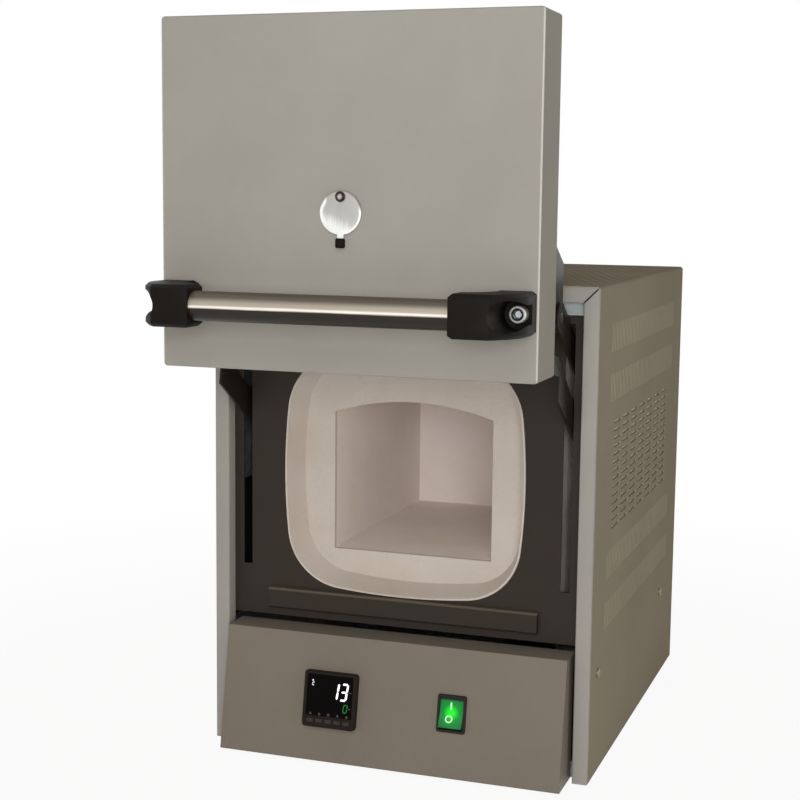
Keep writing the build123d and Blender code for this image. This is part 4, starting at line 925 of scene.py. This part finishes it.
# Painted sheen: the disc is lighter towards its lower left, with painted glints on its left and lower right
# edges and painted shade along its upper edge. The grain is the real upright brushing.
sheen_sweep = rise * -0.5 + across * -0.20625 + 0.5 + (grain - 0.5) * 0.35
grain_and_sheen = cover.shades(sheen_sweep, (0.0, (176, 174, 168)), (0.4, (180, 178, 174)), (0.62, (190, 189, 185)),
                       (0.85, (246, 247, 244)), (1.0, (250, 251, 247)))
left_edge_glint = cover.fade(radius + across * 0.25, 0.60, 0.66) * cover.fade(across, -0.62, -0.74)
right_edge_glint = cover.fade(radius, 0.89, 0.93) * cover.fade(across, 0.2, 0.4) * cover.fade(rise, 0.3, 0.0)
top_edge_shade = cover.fade(radius, 0.93, 0.97) * cover.fade(rise, 0.1, 0.4)
grain_and_sheen = cover.blend(left_edge_glint.at_least(right_edge_glint), grain_and_sheen, colour(252, 252, 249))
cover.feed("Base Color", cover.blend(top_edge_shade * 0.6, grain_and_sheen, colour(112, 106, 100)))
cover.feed("Roughness", grain * 0.3 + 0.26)
softened("peephole_cover", 0.35, cover, "peephole_cover", "cover_steel")

rivet = Finish("rivet_steel", None, 0.25, 0.8)
middle = at(COVER_X, 0, COVER_Z + RIVET_UP)
across, _, rise = rivet.axes(rivet.place(move=(-middle.x, 0, -middle.z)))
button = (across * across + rise * rise) ** 0.5 / (RIVET_R * MM) + rivet.noise(500, 2) * 0.2
# Painted light and shade: the rivet's head is light in the middle and dark round its rim, as its dome
# catches the light.
rivet.feed("Base Color", rivet.shades(button, (0.0, (206, 200, 196)), (0.5, (170, 164, 160)),
                                      (0.66, (66, 56, 52)), (1.0, (50, 42, 38))))
rivet.wear(600, 0.15, 0.2, 2)
dress(rivet, "peephole_rivet")


# ---- Handle ----
# A brushed stainless tube sits in blind sockets in two legs of black glass-filled nylon. A deep
# counterbored socket screw holds each leg to the door.

TUBE_R, TUBE_Z = 11.25, at(0, 0, 399.52).z
SCREW_X, SCREW_R = 141.0, 8.0

tube = Finish("handle_brushed_steel", None, 0.38, 0.35, specular=0.4)
_, _, rise = tube.axes(tube.place(move=(0, 0, -TUBE_Z)))
grain = tube.noise(1, 4, 0.6, tube.place((26, 900, 900)))
height = rise / (2 * TUBE_R * MM) + 0.5 + (grain - 0.5) * 0.05
# Painted reflection: the colour runs round the tube, dark on its lower half, with a painted highlight along
# the middle and a lighter upper half that darkens towards the top.
tube.feed("Base Color", tube.shades(
    height, (0.0, (46, 38, 30)), (0.12, (30, 24, 18)), (0.44, (42, 34, 28)), (0.49, (250, 242, 232)),
    (0.53, (250, 242, 232)), (0.57, (180, 171, 156)), (0.69, (160, 152, 138)), (0.82, (96, 88, 76)),
    (1.0, (86, 78, 68))))
tube.feed("Roughness", grain * 0.25 + 0.26)
dress(tube, "handle_tube")

black = Finish("handle_black_plastic", None, 0.5, specular=0.1)
black.mottle(30, (12, 9, 6), (22, 17, 13), 4)
black.bump(black.noise(1400, 2), 0.00012, 0.5)
softened("handle_leg_right", 1.6, black, "door", "handle_plastic")
softened("handle_leg_left", 1.6, black, "door", "handle_plastic")
softened("peephole_knob", 0.3, black, "peephole_cover", "handle_plastic")

socket = Finish("socket_screw_steel", None, 0.3, 0.5, specular=0.5)
across, _, rise = socket.axes(socket.place(move=(0, 0, -TUBE_Z)))
out = abs(across) - SCREW_X * MM
ring = (out * out + rise * rise) ** 0.5 / (SCREW_R * MM)
# Painted light and shade in rings round each screw's axis: dark in the middle and in a ring round the head
# as painted shade in the socket and counterbore, with bright painted highlights between.
socket.feed("Base Color", socket.shades(
    ring, (0.0, (60, 66, 74)), (0.08, (235, 240, 248)), (0.30, (206, 214, 224)), (0.36, (14, 16, 18)),
    (0.56, (20, 20, 20)), (0.60, (196, 194, 188)), (0.76, (214, 212, 206)), (0.84, (90, 88, 84))))
socket.wear(600, 0.22, 0.2, 2)
dress(socket, "handle_screws")


# ---- Linkage ----
# Two laser-cut steel links on each side carry the door on steel pins, with a bracket screwed to
# the door's rear. All are coated glossy black-brown.

links = powder_coat("link_black_coat", (34, 29, 24), 0.36, 0.0001, 0.16)
for side in ("right", "left"):
    softened(f"upper_link_{side}", 0.3, links, "upper_arms", "link_paint")
    softened(f"lower_link_{side}", 0.3, links, "lower_arms", "link_paint")
    softened(f"door_bracket_{side}", 0.3, links, "door", "link_paint")
pins = Finish("pin_steel", None, 0.3, 1.0)
pins.mottle(200, (150, 148, 144), (186, 184, 180), 2)
pins.wear(600, 0.2, 0.2, 2)
dress(pins, "door_pins", "pivot_pins")
